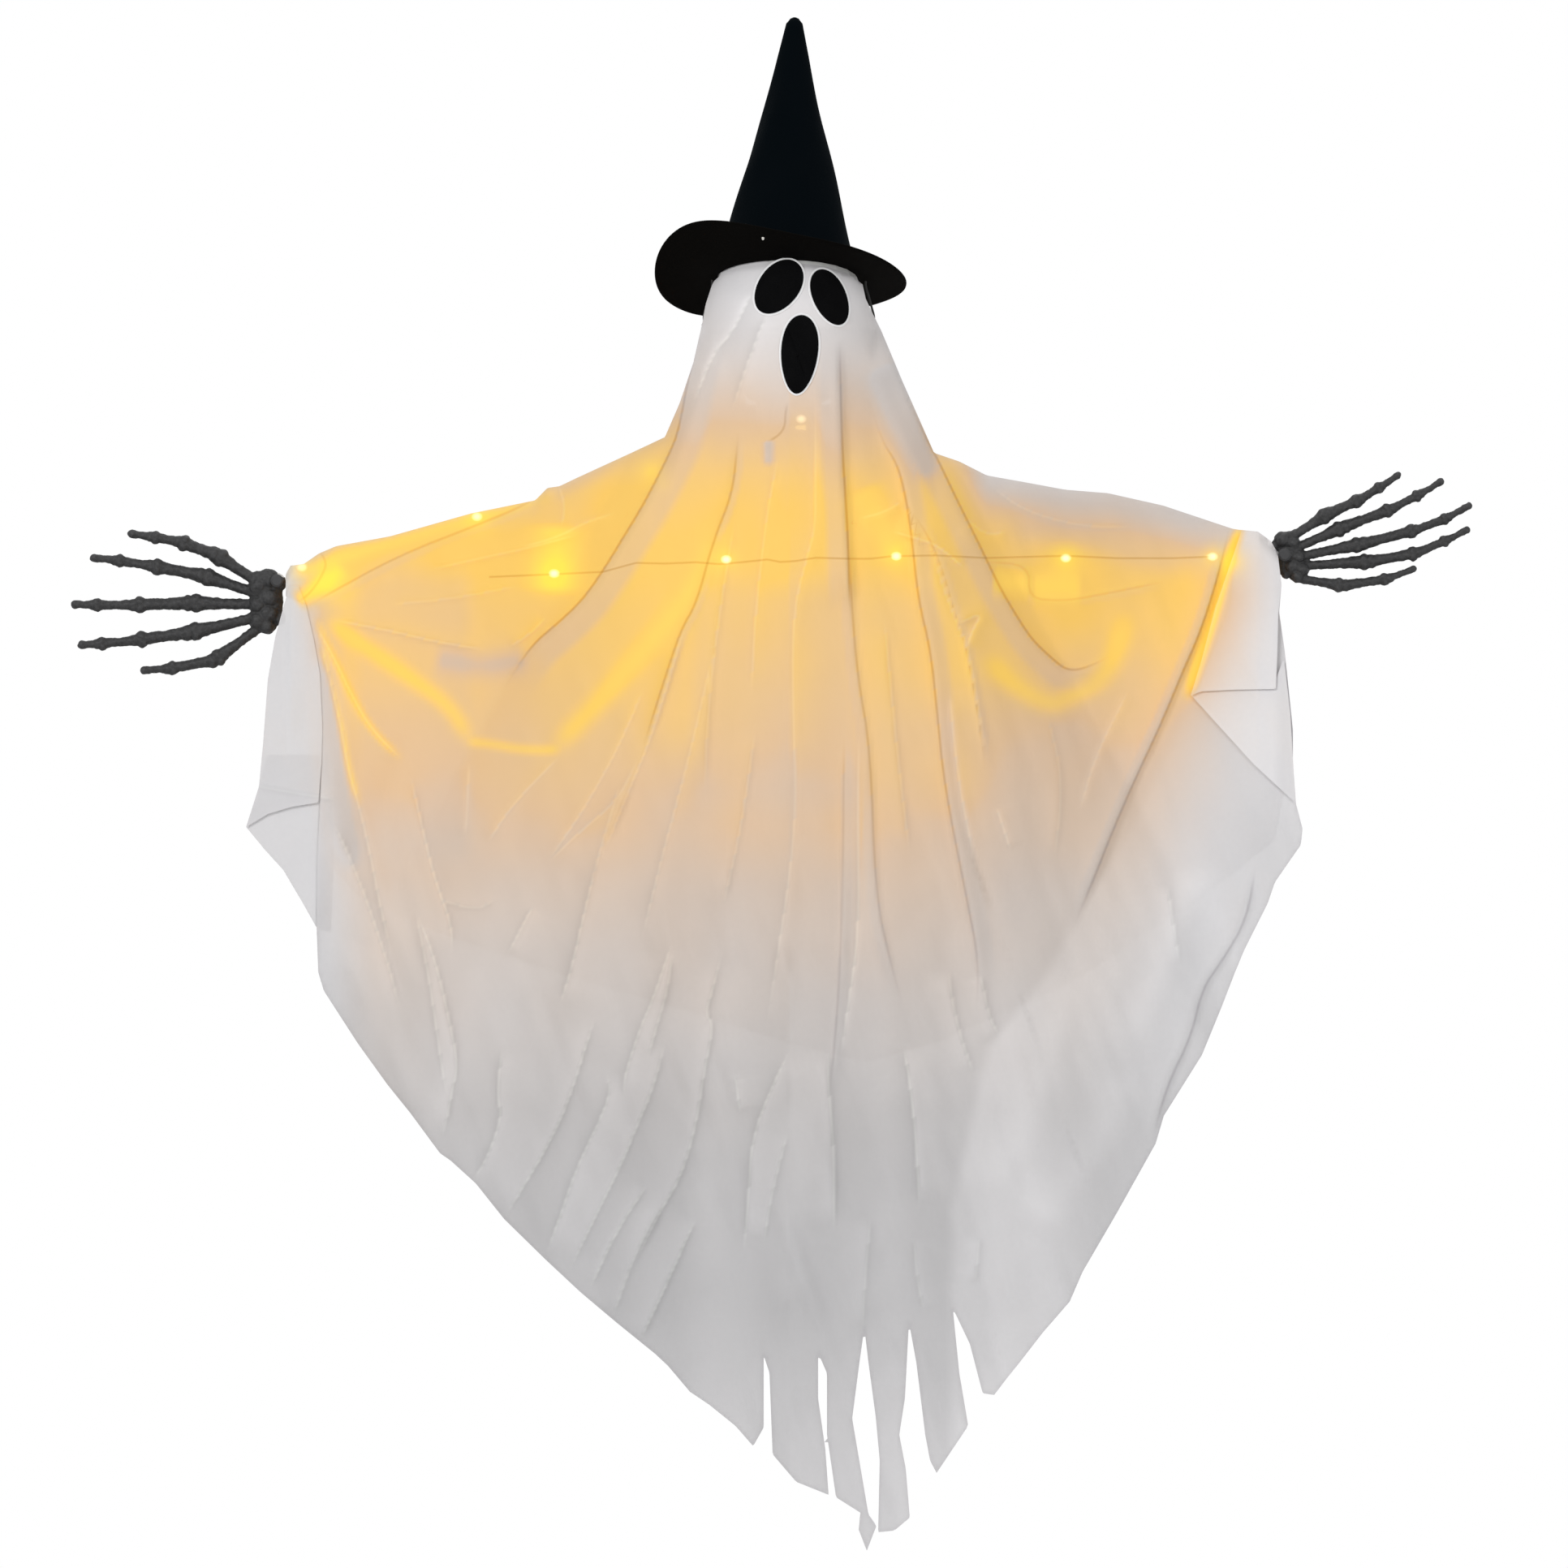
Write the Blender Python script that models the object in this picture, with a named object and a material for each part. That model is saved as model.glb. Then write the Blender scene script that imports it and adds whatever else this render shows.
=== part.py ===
"""Hanging ghost: a sheer folded robe over a wire frame, a witch hat, skeleton hands and a light string.

Metres, +Z up, the face looks along -Y. The origin is the centre of the hanging ring behind the head.
"""

import math

import bmesh
import bpy
from mathutils import Matrix, Vector
from mathutils.bvhtree import BVHTree

# Clearances and cuts
FIT = 0.0003
OVERRUN = 0.002

# Hanging ring and the backbone that hangs on it
RING_RADIUS = 0.012
RING_WIRE = 0.0015
EYE_RADIUS = 0.007
ROD_RADIUS = 0.002
SPINE_DROP = 0.1875

# Cross bar and wrists
BAR_RADIUS = 0.0025
BAR_HALF = 0.402
BAR_SHIFT = -0.0065
BAR_TILT = math.radians(1.48)
BAR_EYE_RADIUS = 0.0062
BAR_EYE_THICK = 0.004
HUB_WIDTH = 0.030
HUB_DEPTH = 0.016
HUB_HEIGHT = 0.030
SCREW_RADIUS = 0.0017
SCREW_HEAD_RADIUS = 0.0035
SCREW_HEAD_HEIGHT = 0.002

# Head form
HEAD_SIDE = 0.063
HEAD_HIGH = 0.071
HEAD_FRONT = 0.063
HEAD_RISE = 0.0065
HEAD_FORWARD = 0.106
HEAD_WALL = 0.002
PEG_RADIUS = 0.0026
PEG_DROP = 0.0283
PEG_BITE = 0.030
COLLAR_RADIUS = 0.0055
COLLAR_HEIGHT = 0.006

# Hat
HAT_OPENING = 0.0570
HAT_WALL = 0.002
HAT_HEIGHT = 0.215
HAT_TIP_RADIUS = 0.0055
HAT_LEAN = math.radians(15.0)
HAT_BACK = 0.0089
HAT_RISE = 0.0412
BRIM_RADIUS = 0.100
BRIM_THICK = 0.002
BRIM_LIFT = 0.0075
BRIM_LIFT_TURN = math.radians(205.0)
BRIM_WAVE = 0.0025

# Battery case
CASE_WIDTH = 0.052
CASE_HEIGHT = 0.027
CASE_DEPTH = 0.0145
CASE_WALL = 0.0014
CASE_DROP = 0.0455
COVER_THICK = 0.0016
BATTERY_RADIUS = 0.00525
BATTERY_LENGTH = 0.0445
BATTERY_NUB = 0.0019
SWITCH_WIDTH = 0.006
SWITCH_SIDE = 0.003
SWITCH_TRAVEL = 0.004
SWITCH_STAND = 0.0016

# Light string
WIRE_RADIUS = 0.0006
LED_RADIUS = 0.0021
LED_LENGTH = 0.0085
LED_SIDES = 8
CLIP_WIRE = 0.0005
SLEEVE_RADIUS = 0.0030
SLEEVE_LENGTH = 0.0085

# Hat elastic
ELASTIC_RADIUS = 0.0009
BARB_RADIUS = 0.0011
BARB_LENGTH = 0.0080

# Robe: the outline follows these two sizes
ROBE_HALF = 0.4216
ROBE_DROP = 0.972
CLOTH = 0.0012
CLOTH_EASE = 0.0024
SLEEVE_BULGE = 0.0140
SLEEVE_ROLL = 0.0040
FRONT_HEM = 0.060
BACK_HEM = 0.052
FRONT_CHIN = 0.005
FRONT_FALL = 0.050
FOLD_DEPTH = 0.017
SWAG_DEPTH = 0.007
SLIT_HALF = 0.0035
BACK_SLIT_HALF = 0.034
BACK_SLIT_TOP = -0.004
BACK_SLIT_BOTTOM = -0.066
BACK_CLEAR = 0.029
ROBE_ROWS = 17
ROW_POWER = 1.6
# The back layer's hem is drawn up this far towards a height that is a share of the robe's drop
BACK_RAISE_SHARE = 0.66
BACK_HEM_SHARE = -0.40

# The top edge: out along the arms in shares of the robe, over the head in shares of the head
ARM_EDGE_SHARES = (
    (-0.939, -0.196), (-0.880, -0.180), (-0.7235, -0.1632), (-0.4793, -0.1379), (-0.4009, -0.1199),
    (-0.2335, -0.0833), (0.2734, -0.0999), (0.3733, -0.1179), (0.6037, -0.1319), (0.8418, -0.1580),
    (0.9084, -0.1700),
)
HEAD_EDGE_SHARES = (
    (-1.377, -0.913), (-1.203, -0.457), (-1.088, 0.045), (-0.877, 0.525), (-0.602, 0.730), (0.0, 0.785),
    (0.602, 0.730), (0.890, 0.497), (1.071, 0.073), (1.178, -0.228), (1.419, -0.708),
)
HEM_SHARES = (
    (-1.0277, -0.4058), (-0.894, -0.4884), (-0.8802, -0.5403), (-0.7604, -0.617), (-0.6405, -0.6796),
    (-0.4593, -0.7615), (-0.3257, -0.8128), (-0.2289, -0.8482), (-0.1505, -0.8801), (-0.0676, -0.9141),
    (-0.0276, -0.9228), (0.0138, -0.9434), (0.0753, -0.9541), (0.1475, -1.0), (0.169, -0.9847),
    (0.2289, -0.9727), (0.2796, -0.9361), (0.3395, -0.8975), (0.3886, -0.8721), (0.4731, -0.8302),
    (0.5561, -0.7709), (0.6144, -0.7262), (0.7097, -0.6429), (0.7819, -0.593), (0.8618, -0.507),
    (0.9201, -0.4511), (0.9693, -0.4204),
)
# Where the columns of the hem start on the top edge
ARM_COLUMN_SHARES = ((0.0, -0.939), (0.33, -0.235), (0.76, 0.273), (1.0, 0.9084))
HEAD_COLUMN_SHARES = ((0.37, -1.138), (0.72, 1.171))
# Each slit in the hem: where it stands across the robe, and how high it is cut
SLIT_SHARES = ((-0.0476, -0.8395), (0.0553, -0.8375), (0.1475, -0.8169), (0.2273, -0.8122), (0.3200, -0.8009))
COLUMNS_BETWEEN_SLITS = (12, 2, 2, 2, 2, 8)

# Face patches: centre across and up, half width, half height, lean, narrowing towards the foot
PATCH_THICK = 0.0008
PATCH_GAP = 0.0012
EYE_LEFT = (-0.0078, 0.0335, 0.0155, 0.0220, math.radians(-42.0), 0.10)
EYE_RIGHT = (0.0324, 0.0275, 0.0122, 0.0225, math.radians(24.0), 0.08)
MOUTH = (0.0091, -0.0168, 0.0145, 0.0310, math.radians(-4.0), 0.28)

# Skeleton hand: joint places as shares of the hand's length, for the fingers from the top one to the thumb
HAND_LENGTH = 0.160
WRIST_THICK = 0.018
PALM_THICK = 0.011
BONE_SHAFT = 0.0032
BONE_KNOB = 0.0049
FINGER_CURL = 0.010
WRIST_RANGE = math.radians(36.0)
PIN_RADIUS = 0.0020
PIN_HEAD_RADIUS = 0.0052
PIN_HEAD_HEIGHT = 0.0012
FINGER_SHARES = (
    ((0.105, 0.000), (0.298, 0.128), (0.478, 0.194), (0.615, 0.219), (0.719, 0.235)),
    ((0.110, -0.060), (0.362, 0.025), (0.611, 0.073), (0.790, 0.101), (0.903, 0.113)),
    ((0.110, -0.118), (0.423, -0.111), (0.696, -0.121), (0.903, -0.121), (0.996, -0.118)),
    ((0.110, -0.185), (0.427, -0.259), (0.688, -0.296), (0.878, -0.316), (0.963, -0.320)),
    ((0.070, -0.220), (0.306, -0.397), (0.532, -0.439), (0.660, -0.449)),
)
CARPAL_SHARES = (
    (0.045, 0.010, 0.058, 0.050), (0.095, -0.030, 0.050, 0.045), (0.040, -0.085, 0.060, 0.050),
    (0.098, -0.120, 0.045, 0.045), (0.045, -0.165, 0.055, 0.050), (0.095, -0.200, 0.048, 0.045),
    (0.050, -0.228, 0.042, 0.040),
)
# Left and right hand: how far the fingers spread, their reach, and the hand's rise from level
PALM_SHARES = (
    (-0.040, 0.046), (0.060, 0.062), (0.125, 0.030), (0.135, -0.215), (0.085, -0.262), (-0.020, -0.240),
)
LEFT_POSE = (1.0, 1.0, 0.0)
RIGHT_POSE = (0.82, 0.97, math.radians(20.0))

BAR_CENTRE = Vector((BAR_SHIFT, 0.0, -SPINE_DROP))
BAR_AXIS = Vector((math.cos(BAR_TILT), 0.0, math.sin(BAR_TILT)))
HEAD_CENTRE = Vector((0.0, -HEAD_FORWARD, HEAD_RISE))
HAT_BASE = HEAD_CENTRE + Vector((0.0, HAT_BACK, HAT_RISE))
HAT_TURN = Matrix.Translation(HAT_BASE) @ Matrix.Rotation(-HAT_LEAN, 4, "X")
EYE_TOP = -RING_RADIUS + RING_WIRE + FIT + ROD_RADIUS
EYE_CENTRE = EYE_TOP - EYE_RADIUS
CASE_FRONT = ROD_RADIUS + FIT

MATERIALS = {
    "sheer_cloth": ((0.90, 0.89, 0.90, 1.0), 0.85, 0.0),
    "black_felt": ((0.012, 0.012, 0.015, 1.0), 0.95, 0.0),
    "black_plastic": ((0.035, 0.035, 0.035, 1.0), 0.55, 0.0),
    "white_plastic": ((0.85, 0.85, 0.82, 1.0), 0.45, 0.0),
    "steel": ((0.55, 0.55, 0.56, 1.0), 0.35, 1.0),
    "elastic": ((0.03, 0.03, 0.03, 1.0), 0.80, 0.0),
    "warm_lamp": ((1.0, 0.80, 0.35, 1.0), 0.25, 0.0),
    "copper_wire": ((0.45, 0.28, 0.16, 1.0), 0.40, 1.0),
    "battery_skin": ((0.10, 0.12, 0.14, 1.0), 0.40, 0.0),
}


def clear_scene():
    for obj in list(bpy.data.objects):
        bpy.data.objects.remove(obj, do_unlink=True)


def material(name):
    """The named finish, made once."""
    found = bpy.data.materials.get(name)
    if found:
        return found
    colour, roughness, metallic = MATERIALS[name]
    made = bpy.data.materials.new(name)
    made.use_nodes = True
    shader = made.node_tree.nodes["Principled BSDF"]
    shader.inputs["Base Color"].default_value = colour
    shader.inputs["Roughness"].default_value = roughness
    shader.inputs["Metallic"].default_value = metallic
    return made


def add_object(name, bm, finish, smooth=True):
    """A named object from a bmesh, its faces turned outwards."""
    bmesh.ops.recalc_face_normals(bm, faces=bm.faces[:])
    mesh = bpy.data.meshes.new(name)
    bm.to_mesh(mesh)
    bm.free()
    if smooth:
        mesh.shade_smooth()
        mesh.set_sharp_from_angle(angle=math.radians(40.0))
    mesh.materials.append(material(finish))
    obj = bpy.data.objects.new(name, mesh)
    bpy.context.scene.collection.objects.link(obj)
    return obj


def as_tool(obj):
    """A shape that only cuts or joins others."""
    obj.hide_render = True
    obj.display_type = "WIRE"
    return obj


def combine(obj, tool, operation):
    step = obj.modifiers.new(operation.title(), "BOOLEAN")
    step.operation = operation
    step.solver = "EXACT"
    step.object = as_tool(tool)
    return step


def frame_between(start, end):
    """A matrix with +Z from start to end, centred between them."""
    start = Vector(start)
    end = Vector(end)
    turn = (end - start).to_track_quat("Z", "Y").to_matrix().to_4x4()
    return Matrix.Translation((start + end) / 2) @ turn


def add_rod(bm, start, end, radius, sides, end_radius=None):
    bmesh.ops.create_cone(
        bm, cap_ends=True, segments=sides, radius1=radius,
        radius2=radius if end_radius is None else end_radius,
        depth=(Vector(end) - Vector(start)).length, matrix=frame_between(start, end),
    )


def add_box(bm, low, high):
    low = Vector(low)
    high = Vector(high)
    size = high - low
    place = Matrix.Translation((low + high) / 2) @ Matrix.Diagonal((*size, 1.0))
    bmesh.ops.create_cube(bm, size=1.0, matrix=place)


def rod_object(name, start, end, radius, sides, finish):
    bm = bmesh.new()
    add_rod(bm, start, end, radius, sides)
    return add_object(name, bm, finish)


def box_object(name, low, high, finish, bevel=0.0):
    bm = bmesh.new()
    add_box(bm, low, high)
    if bevel:
        bmesh.ops.bevel(bm, geom=bm.edges[:], offset=bevel, segments=2, profile=0.5, affect="EDGES")
    return add_object(name, bm, finish)


def ring_mesh(bm, centre, across, up, radius, wire, turns, sides):
    """A closed round ring whose circle lies in the plane of across and up."""
    centre = Vector(centre)
    across = Vector(across).normalized()
    up = Vector(up).normalized()
    normal = across.cross(up)
    rings = []
    for step in range(turns):
        angle = math.tau * step / turns
        out = across * math.cos(angle) + up * math.sin(angle)
        rings.append([
            bm.verts.new(centre + out * (radius + wire * math.cos(turn)) + normal * wire * math.sin(turn))
            for turn in (math.tau * side / sides for side in range(sides))
        ])
    for step in range(turns):
        for side in range(sides):
            here, there = rings[step], rings[(step + 1) % turns]
            after = (side + 1) % sides
            bm.faces.new((here[side], there[side], there[after], here[after]))


def tube_mesh(bm, points, radii, sides):
    """A closed tube along a path that lies near the XZ plane."""
    rings = []
    for index, point in enumerate(points):
        before = points[max(index - 1, 0)]
        after = points[min(index + 1, len(points) - 1)]
        along = (after - before).normalized()
        side_way = along.cross(Vector((0.0, 1.0, 0.0))).normalized()
        front_way = side_way.cross(along)
        rings.append([
            bm.verts.new(point + radii[index] * (side_way * math.cos(turn) + front_way * math.sin(turn)))
            for turn in (math.tau * side / sides for side in range(sides))
        ])
    for here, there in zip(rings, rings[1:]):
        for side in range(sides):
            after = (side + 1) % sides
            bm.faces.new((here[side], there[side], there[after], here[after]))
    bm.faces.new(rings[0])
    bm.faces.new(rings[-1])


def lathe_mesh(bm, profile, sides):
    """A closed turned shape; the profile's (radius, height) points start and end on the axis."""
    loops = []
    for radius, height in profile:
        if radius == 0:
            loops.append([bm.verts.new((0.0, 0.0, height))])
        else:
            loops.append([
                bm.verts.new((radius * math.cos(turn), radius * math.sin(turn), height))
                for turn in (math.tau * side / sides for side in range(sides))
            ])
    for lower, upper in zip(loops, loops[1:]):
        for side in range(sides):
            after = (side + 1) % sides
            corners = [lower[side % len(lower)], lower[after % len(lower)],
                       upper[after % len(upper)], upper[side % len(upper)]]
            unique = list(dict.fromkeys(corners))
            if len(unique) > 2:
                bm.faces.new(unique)


def curve_tube(name, points, radius, finish, resolution=2):
    """A cord: one poly spline with filled caps."""
    curve = bpy.data.curves.new(name, "CURVE")
    curve.dimensions = "3D"
    curve.bevel_depth = radius
    curve.bevel_resolution = resolution
    curve.use_fill_caps = True
    spline = curve.splines.new("POLY")
    spline.points.add(len(points) - 1)
    for slot, point in zip(spline.points, points):
        slot.co = (*point, 1.0)
    curve.materials.append(material(finish))
    obj = bpy.data.objects.new(name, curve)
    bpy.context.scene.collection.objects.link(obj)
    return obj


def smooth_route(anchors, steps):
    """Points of a smooth curve through a cord's own chosen points."""
    anchors = [Vector(point) for point in anchors]
    padded = [2 * anchors[0] - anchors[1], *anchors, 2 * anchors[-1] - anchors[-2]]
    route = []
    for first, second, third, fourth in zip(padded, padded[1:], padded[2:], padded[3:]):
        for step in range(steps):
            t = step / steps
            route.append(0.5 * (
                2 * second + (third - first) * t
                + (2 * first - 5 * second + 4 * third - fourth) * t * t
                + (3 * second - first - 3 * third + fourth) * t * t * t
            ))
    route.append(anchors[-1])
    return route


def ease(value):
    """0 to 1 with level ends."""
    value = min(max(value, 0.0), 1.0)
    return value * value * (3.0 - 2.0 * value)


def mix(low, high, share):
    return low + (high - low) * share


def along_table(table, across):
    """The value of a table at a place along it, in straight runs."""
    if across <= table[0][0]:
        return table[0][1]
    for (left, low), (right, high) in zip(table, table[1:]):
        if across <= right:
            return mix(low, high, (across - left) / (right - left))
    return table[-1][1]


# Frame: ring, backbone, hub, cross bar


def make_hanging_ring():
    bm = bmesh.new()
    ring_mesh(bm, (0, 0, 0), (1, 0, 0), (0, 0, 1), RING_RADIUS, RING_WIRE, 24, 8)
    return add_object("hanging_ring", bm, "steel")


def make_backbone():
    """The upright wire, bent to an eye that hangs in the ring."""
    bm = bmesh.new()
    ring_mesh(bm, (0, 0, EYE_CENTRE), (0, 1, 0), (0, 0, 1), EYE_RADIUS, ROD_RADIUS, 20, 8)
    eye = add_object("backbone", bm, "steel")
    foot = -SPINE_DROP + BAR_RADIUS + ROD_RADIUS
    stem = rod_object("backbone_stem", (0, 0, foot), (0, 0, EYE_CENTRE - EYE_RADIUS), ROD_RADIUS, 10, "steel")
    combine(eye, stem, "UNION")
    return eye


def bar_point(along, front=0.0, rise=0.0):
    """A place on the cross bar, with steps to the front and up."""
    return BAR_CENTRE + BAR_AXIS * along + Vector((0.0, -front, rise))


def make_cross_bar():
    """One straight rod with a flat eye at each end for the wrist pins."""
    reach = BAR_HALF - BAR_EYE_RADIUS / 2
    bar = rod_object("cross_bar", bar_point(-reach), bar_point(reach), BAR_RADIUS, 10, "white_plastic")
    for side, label in ((-1, "left"), (1, "right")):
        centre = bar_point(side * BAR_HALF)
        half = Vector((0.0, BAR_EYE_THICK / 2, 0.0))
        eye = rod_object(f"bar_eye_{label}", centre - half, centre + half, BAR_EYE_RADIUS, 20, "white_plastic")
        combine(bar, eye, "UNION")
        reach = Vector((0.0, BAR_EYE_THICK / 2 + OVERRUN, 0.0))
        hole = rod_object(f"bar_hole_{label}", centre - reach, centre + reach, PIN_RADIUS + FIT, 14, "steel")
        combine(bar, hole, "DIFFERENCE")
    return bar


def make_hub():
    """The moulded block where the backbone stands on the cross bar, with a set screw at the back."""
    low = Vector((-HUB_WIDTH / 2, -HUB_DEPTH / 2, -SPINE_DROP - HUB_HEIGHT / 2))
    high = Vector((HUB_WIDTH / 2, HUB_DEPTH / 2, -SPINE_DROP + HUB_HEIGHT / 2))
    hub = box_object("hub_block", low, high, "white_plastic", bevel=HUB_DEPTH / 8)
    bar_run = HUB_WIDTH / 2 + OVERRUN - BAR_SHIFT
    combine(hub, rod_object("hub_bar_hole", bar_point(-bar_run - BAR_SHIFT), bar_point(bar_run - BAR_SHIFT),
                            BAR_RADIUS + FIT, 12, "steel"), "DIFFERENCE")
    foot = -SPINE_DROP + BAR_RADIUS + ROD_RADIUS - FIT
    top = (0, 0, high.z + OVERRUN)
    combine(hub, rod_object("hub_stem_hole", (0, 0, foot), top, ROD_RADIUS + FIT, 12, "steel"), "DIFFERENCE")
    inner = (0, BAR_RADIUS + FIT / 2, -SPINE_DROP)
    outer = (0, high.y + OVERRUN, -SPINE_DROP)
    combine(hub, rod_object("hub_screw_hole", inner, outer, SCREW_RADIUS + FIT, 10, "steel"), "DIFFERENCE")
    bm = bmesh.new()
    groove = WIRE_RADIUS + FIT * 2
    add_box(bm, (-bar_run, -HUB_DEPTH / 2 - OVERRUN, -groove), (bar_run, -BAR_RADIUS, groove))
    tilt = Matrix.Translation(BAR_CENTRE) @ Matrix.Rotation(-BAR_TILT, 4, "Y")
    bmesh.ops.transform(bm, matrix=tilt, verts=bm.verts[:])
    combine(hub, add_object("hub_wire_groove", bm, "steel"), "DIFFERENCE")
    bm = bmesh.new()
    tip = BAR_RADIUS + FIT * 2
    add_rod(bm, (0, tip, -SPINE_DROP), (0, high.y + FIT * 2, -SPINE_DROP), SCREW_RADIUS, 10)
    screw = add_object("set_screw", bm, "steel")
    head = rod_object("set_screw_head", (0, high.y + FIT, -SPINE_DROP),
                      (0, high.y + FIT + SCREW_HEAD_HEIGHT, -SPINE_DROP), SCREW_HEAD_RADIUS, 14, "steel")
    combine(screw, head, "UNION")
    return hub


def make_head():
    """A hollow moulded egg with a hole at its back for the peg."""
    bm = bmesh.new()
    bmesh.ops.create_uvsphere(bm, u_segments=22, v_segments=12, radius=1.0,
                              matrix=Matrix.Translation(HEAD_CENTRE)
                              @ Matrix.Diagonal((HEAD_SIDE, HEAD_FRONT, HEAD_HIGH, 1.0)))
    head = add_object("head_form", bm, "white_plastic")
    bm = bmesh.new()
    inner = (HEAD_SIDE - HEAD_WALL, HEAD_FRONT - HEAD_WALL, HEAD_HIGH - HEAD_WALL, 1.0)
    bmesh.ops.create_uvsphere(bm, u_segments=16, v_segments=10, radius=1.0,
                              matrix=Matrix.Translation(HEAD_CENTRE) @ Matrix.Diagonal(inner))
    combine(head, add_object("head_hollow", bm, "white_plastic"), "DIFFERENCE")
    hole = rod_object("head_hole", (0, -HEAD_FORWARD, -PEG_DROP), (0, 0, -PEG_DROP), PEG_RADIUS + FIT, 14,
                      "steel")
    combine(head, hole, "DIFFERENCE")
    return head


def head_back(height):
    """How far back the head's surface reaches at a height, at the middle."""
    rise = (height - HEAD_RISE) / HEAD_HIGH
    return -HEAD_FORWARD + HEAD_FRONT * math.sqrt(max(0.0, 1.0 - rise * rise))


def make_head_bracket():
    """A collar on the backbone with a peg that carries the head."""
    bm = bmesh.new()
    low = -PEG_DROP - COLLAR_HEIGHT / 2
    add_rod(bm, (0, 0, low), (0, 0, low + COLLAR_HEIGHT), COLLAR_RADIUS, 16)
    bracket = add_object("head_bracket", bm, "black_plastic")
    tip = (0, head_back(-PEG_DROP) - PEG_BITE, -PEG_DROP)
    peg = rod_object("bracket_peg", (0, -ROD_RADIUS * 2, -PEG_DROP), tip, PEG_RADIUS, 14, "black_plastic")
    combine(bracket, peg, "UNION")
    bore = rod_object("bracket_bore", (0, 0, low - OVERRUN), (0, 0, low + COLLAR_HEIGHT + OVERRUN),
                      ROD_RADIUS + FIT, 12, "steel")
    combine(bracket, bore, "DIFFERENCE")
    return bracket


# Hat


def make_hat_cone():
    """A felt cone shell with a blunt tip, open at the foot."""
    outer = HAT_OPENING + HAT_WALL
    profile = [(HAT_OPENING, 0.0), (outer, 0.0)]
    for share in (0.2, 0.4, 0.6, 0.8, 0.96):
        pull = math.sin(math.pi * share) * HAT_WALL
        profile.append((mix(outer, HAT_TIP_RADIUS, share) - pull, HAT_HEIGHT * share))
    profile.append((HAT_TIP_RADIUS * 0.6, HAT_HEIGHT * 0.99))
    profile.append((0.0, HAT_HEIGHT))
    inside = [(0.0, HAT_HEIGHT * 0.96)]
    for share in (0.9, 0.6, 0.3):
        pull = math.sin(math.pi * share) * HAT_WALL
        inside.append((mix(outer, HAT_TIP_RADIUS, share) - pull - HAT_WALL, HAT_HEIGHT * share))
    bm = bmesh.new()
    lathe_mesh(bm, [*profile, *inside, (HAT_OPENING, 0.0)], 32)
    bmesh.ops.remove_doubles(bm, verts=bm.verts[:], dist=FIT / 100)
    bmesh.ops.transform(bm, matrix=HAT_TURN, verts=bm.verts[:])
    return add_object("hat_cone", bm, "black_felt")


def brim_height(radius, turn):
    """How far the brim rises from its flat plane; the front left is curled up most."""
    out = ease((radius - HAT_OPENING) / (BRIM_RADIUS - HAT_OPENING))
    lift = BRIM_LIFT * (0.5 + 0.5 * math.cos(turn - BRIM_LIFT_TURN)) ** 2
    return out * (lift + BRIM_WAVE * math.sin(3 * turn))


def make_hat_brim():
    """A felt ring under the cone, wavy towards its edge."""
    bm = bmesh.new()
    sides = 40
    radii = [mix(HAT_OPENING, BRIM_RADIUS, share) for share in (0.0, 0.1, 0.35, 0.7, 1.0)]
    path = [(radius, 0.0) for radius in radii] + [(radius, -BRIM_THICK) for radius in reversed(radii)]
    rings = []
    for radius, drop in path:
        rings.append([
            bm.verts.new((radius * math.cos(turn), radius * math.sin(turn),
                          brim_height(radius, turn) + drop - FIT))
            for turn in (math.tau * side / sides for side in range(sides))
        ])
    for here, there in zip(rings, rings[1:] + rings[:1]):
        for side in range(sides):
            after = (side + 1) % sides
            bm.faces.new((here[side], here[after], there[after], there[side]))
    bmesh.ops.transform(bm, matrix=HAT_TURN, verts=bm.verts[:])
    return add_object("hat_brim", bm, "black_felt")


def barb_middle(side, along=0.0):
    """A place on the T-shaped elastic end, under the brim beside the opening."""
    seat = HAT_OPENING + HAT_WALL + BARB_RADIUS * 2
    low = brim_height(seat, 0.0 if side > 0 else math.pi) - BRIM_THICK
    return HAT_TURN @ Vector((side * seat, along, low - FIT * 2 - BARB_RADIUS))


def make_elastic():
    """The elastic round the back of the head and its two T-shaped ends."""
    for side, label in ((-1, "left"), (1, "right")):
        ends = [barb_middle(side, way * BARB_LENGTH / 2) for way in (-1, 1)]
        rod_object(f"elastic_barb_{label}", *ends, BARB_RADIUS, 8, "white_plastic")
    return curve_tube("hat_elastic", smooth_route(elastic_anchors(), 3), ELASTIC_RADIUS, "elastic")


def elastic_anchors():
    """The elastic's own points, from the left barb round the nape to the right barb."""
    step = Vector((0.0, 0.0, -BARB_RADIUS - FIT * 2))
    start = barb_middle(-1) + step
    end = barb_middle(1) + step
    half = [
        (0.0610, -0.0935, 0.0355), (0.0632, -0.0925, 0.0277), (0.0655, -0.0913, 0.0194),
        (0.0675, -0.0884, 0.0120), (0.0676, -0.0800, 0.0074), (0.0684, -0.0680, 0.0040),
        (0.0638, -0.0572, 0.0018), (0.0506, -0.0480, 0.0010), (0.0404, -0.0402, 0.0016),
        (0.0275, -0.0344, 0.0030), (0.0142, -0.0324, 0.0024),
    ]
    left = [(-x, y, z) for x, y, z in half]
    return [start, *left, (0.0, -0.0327, 0.0027), *reversed(half), end]


# Battery case


def case_box():
    """The case's low and high corners, hung behind the backbone."""
    low = Vector((-CASE_WIDTH / 2, CASE_FRONT, -CASE_DROP - CASE_HEIGHT / 2))
    high = Vector((CASE_WIDTH / 2, CASE_FRONT + CASE_DEPTH, -CASE_DROP + CASE_HEIGHT / 2))
    return low, high


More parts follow.
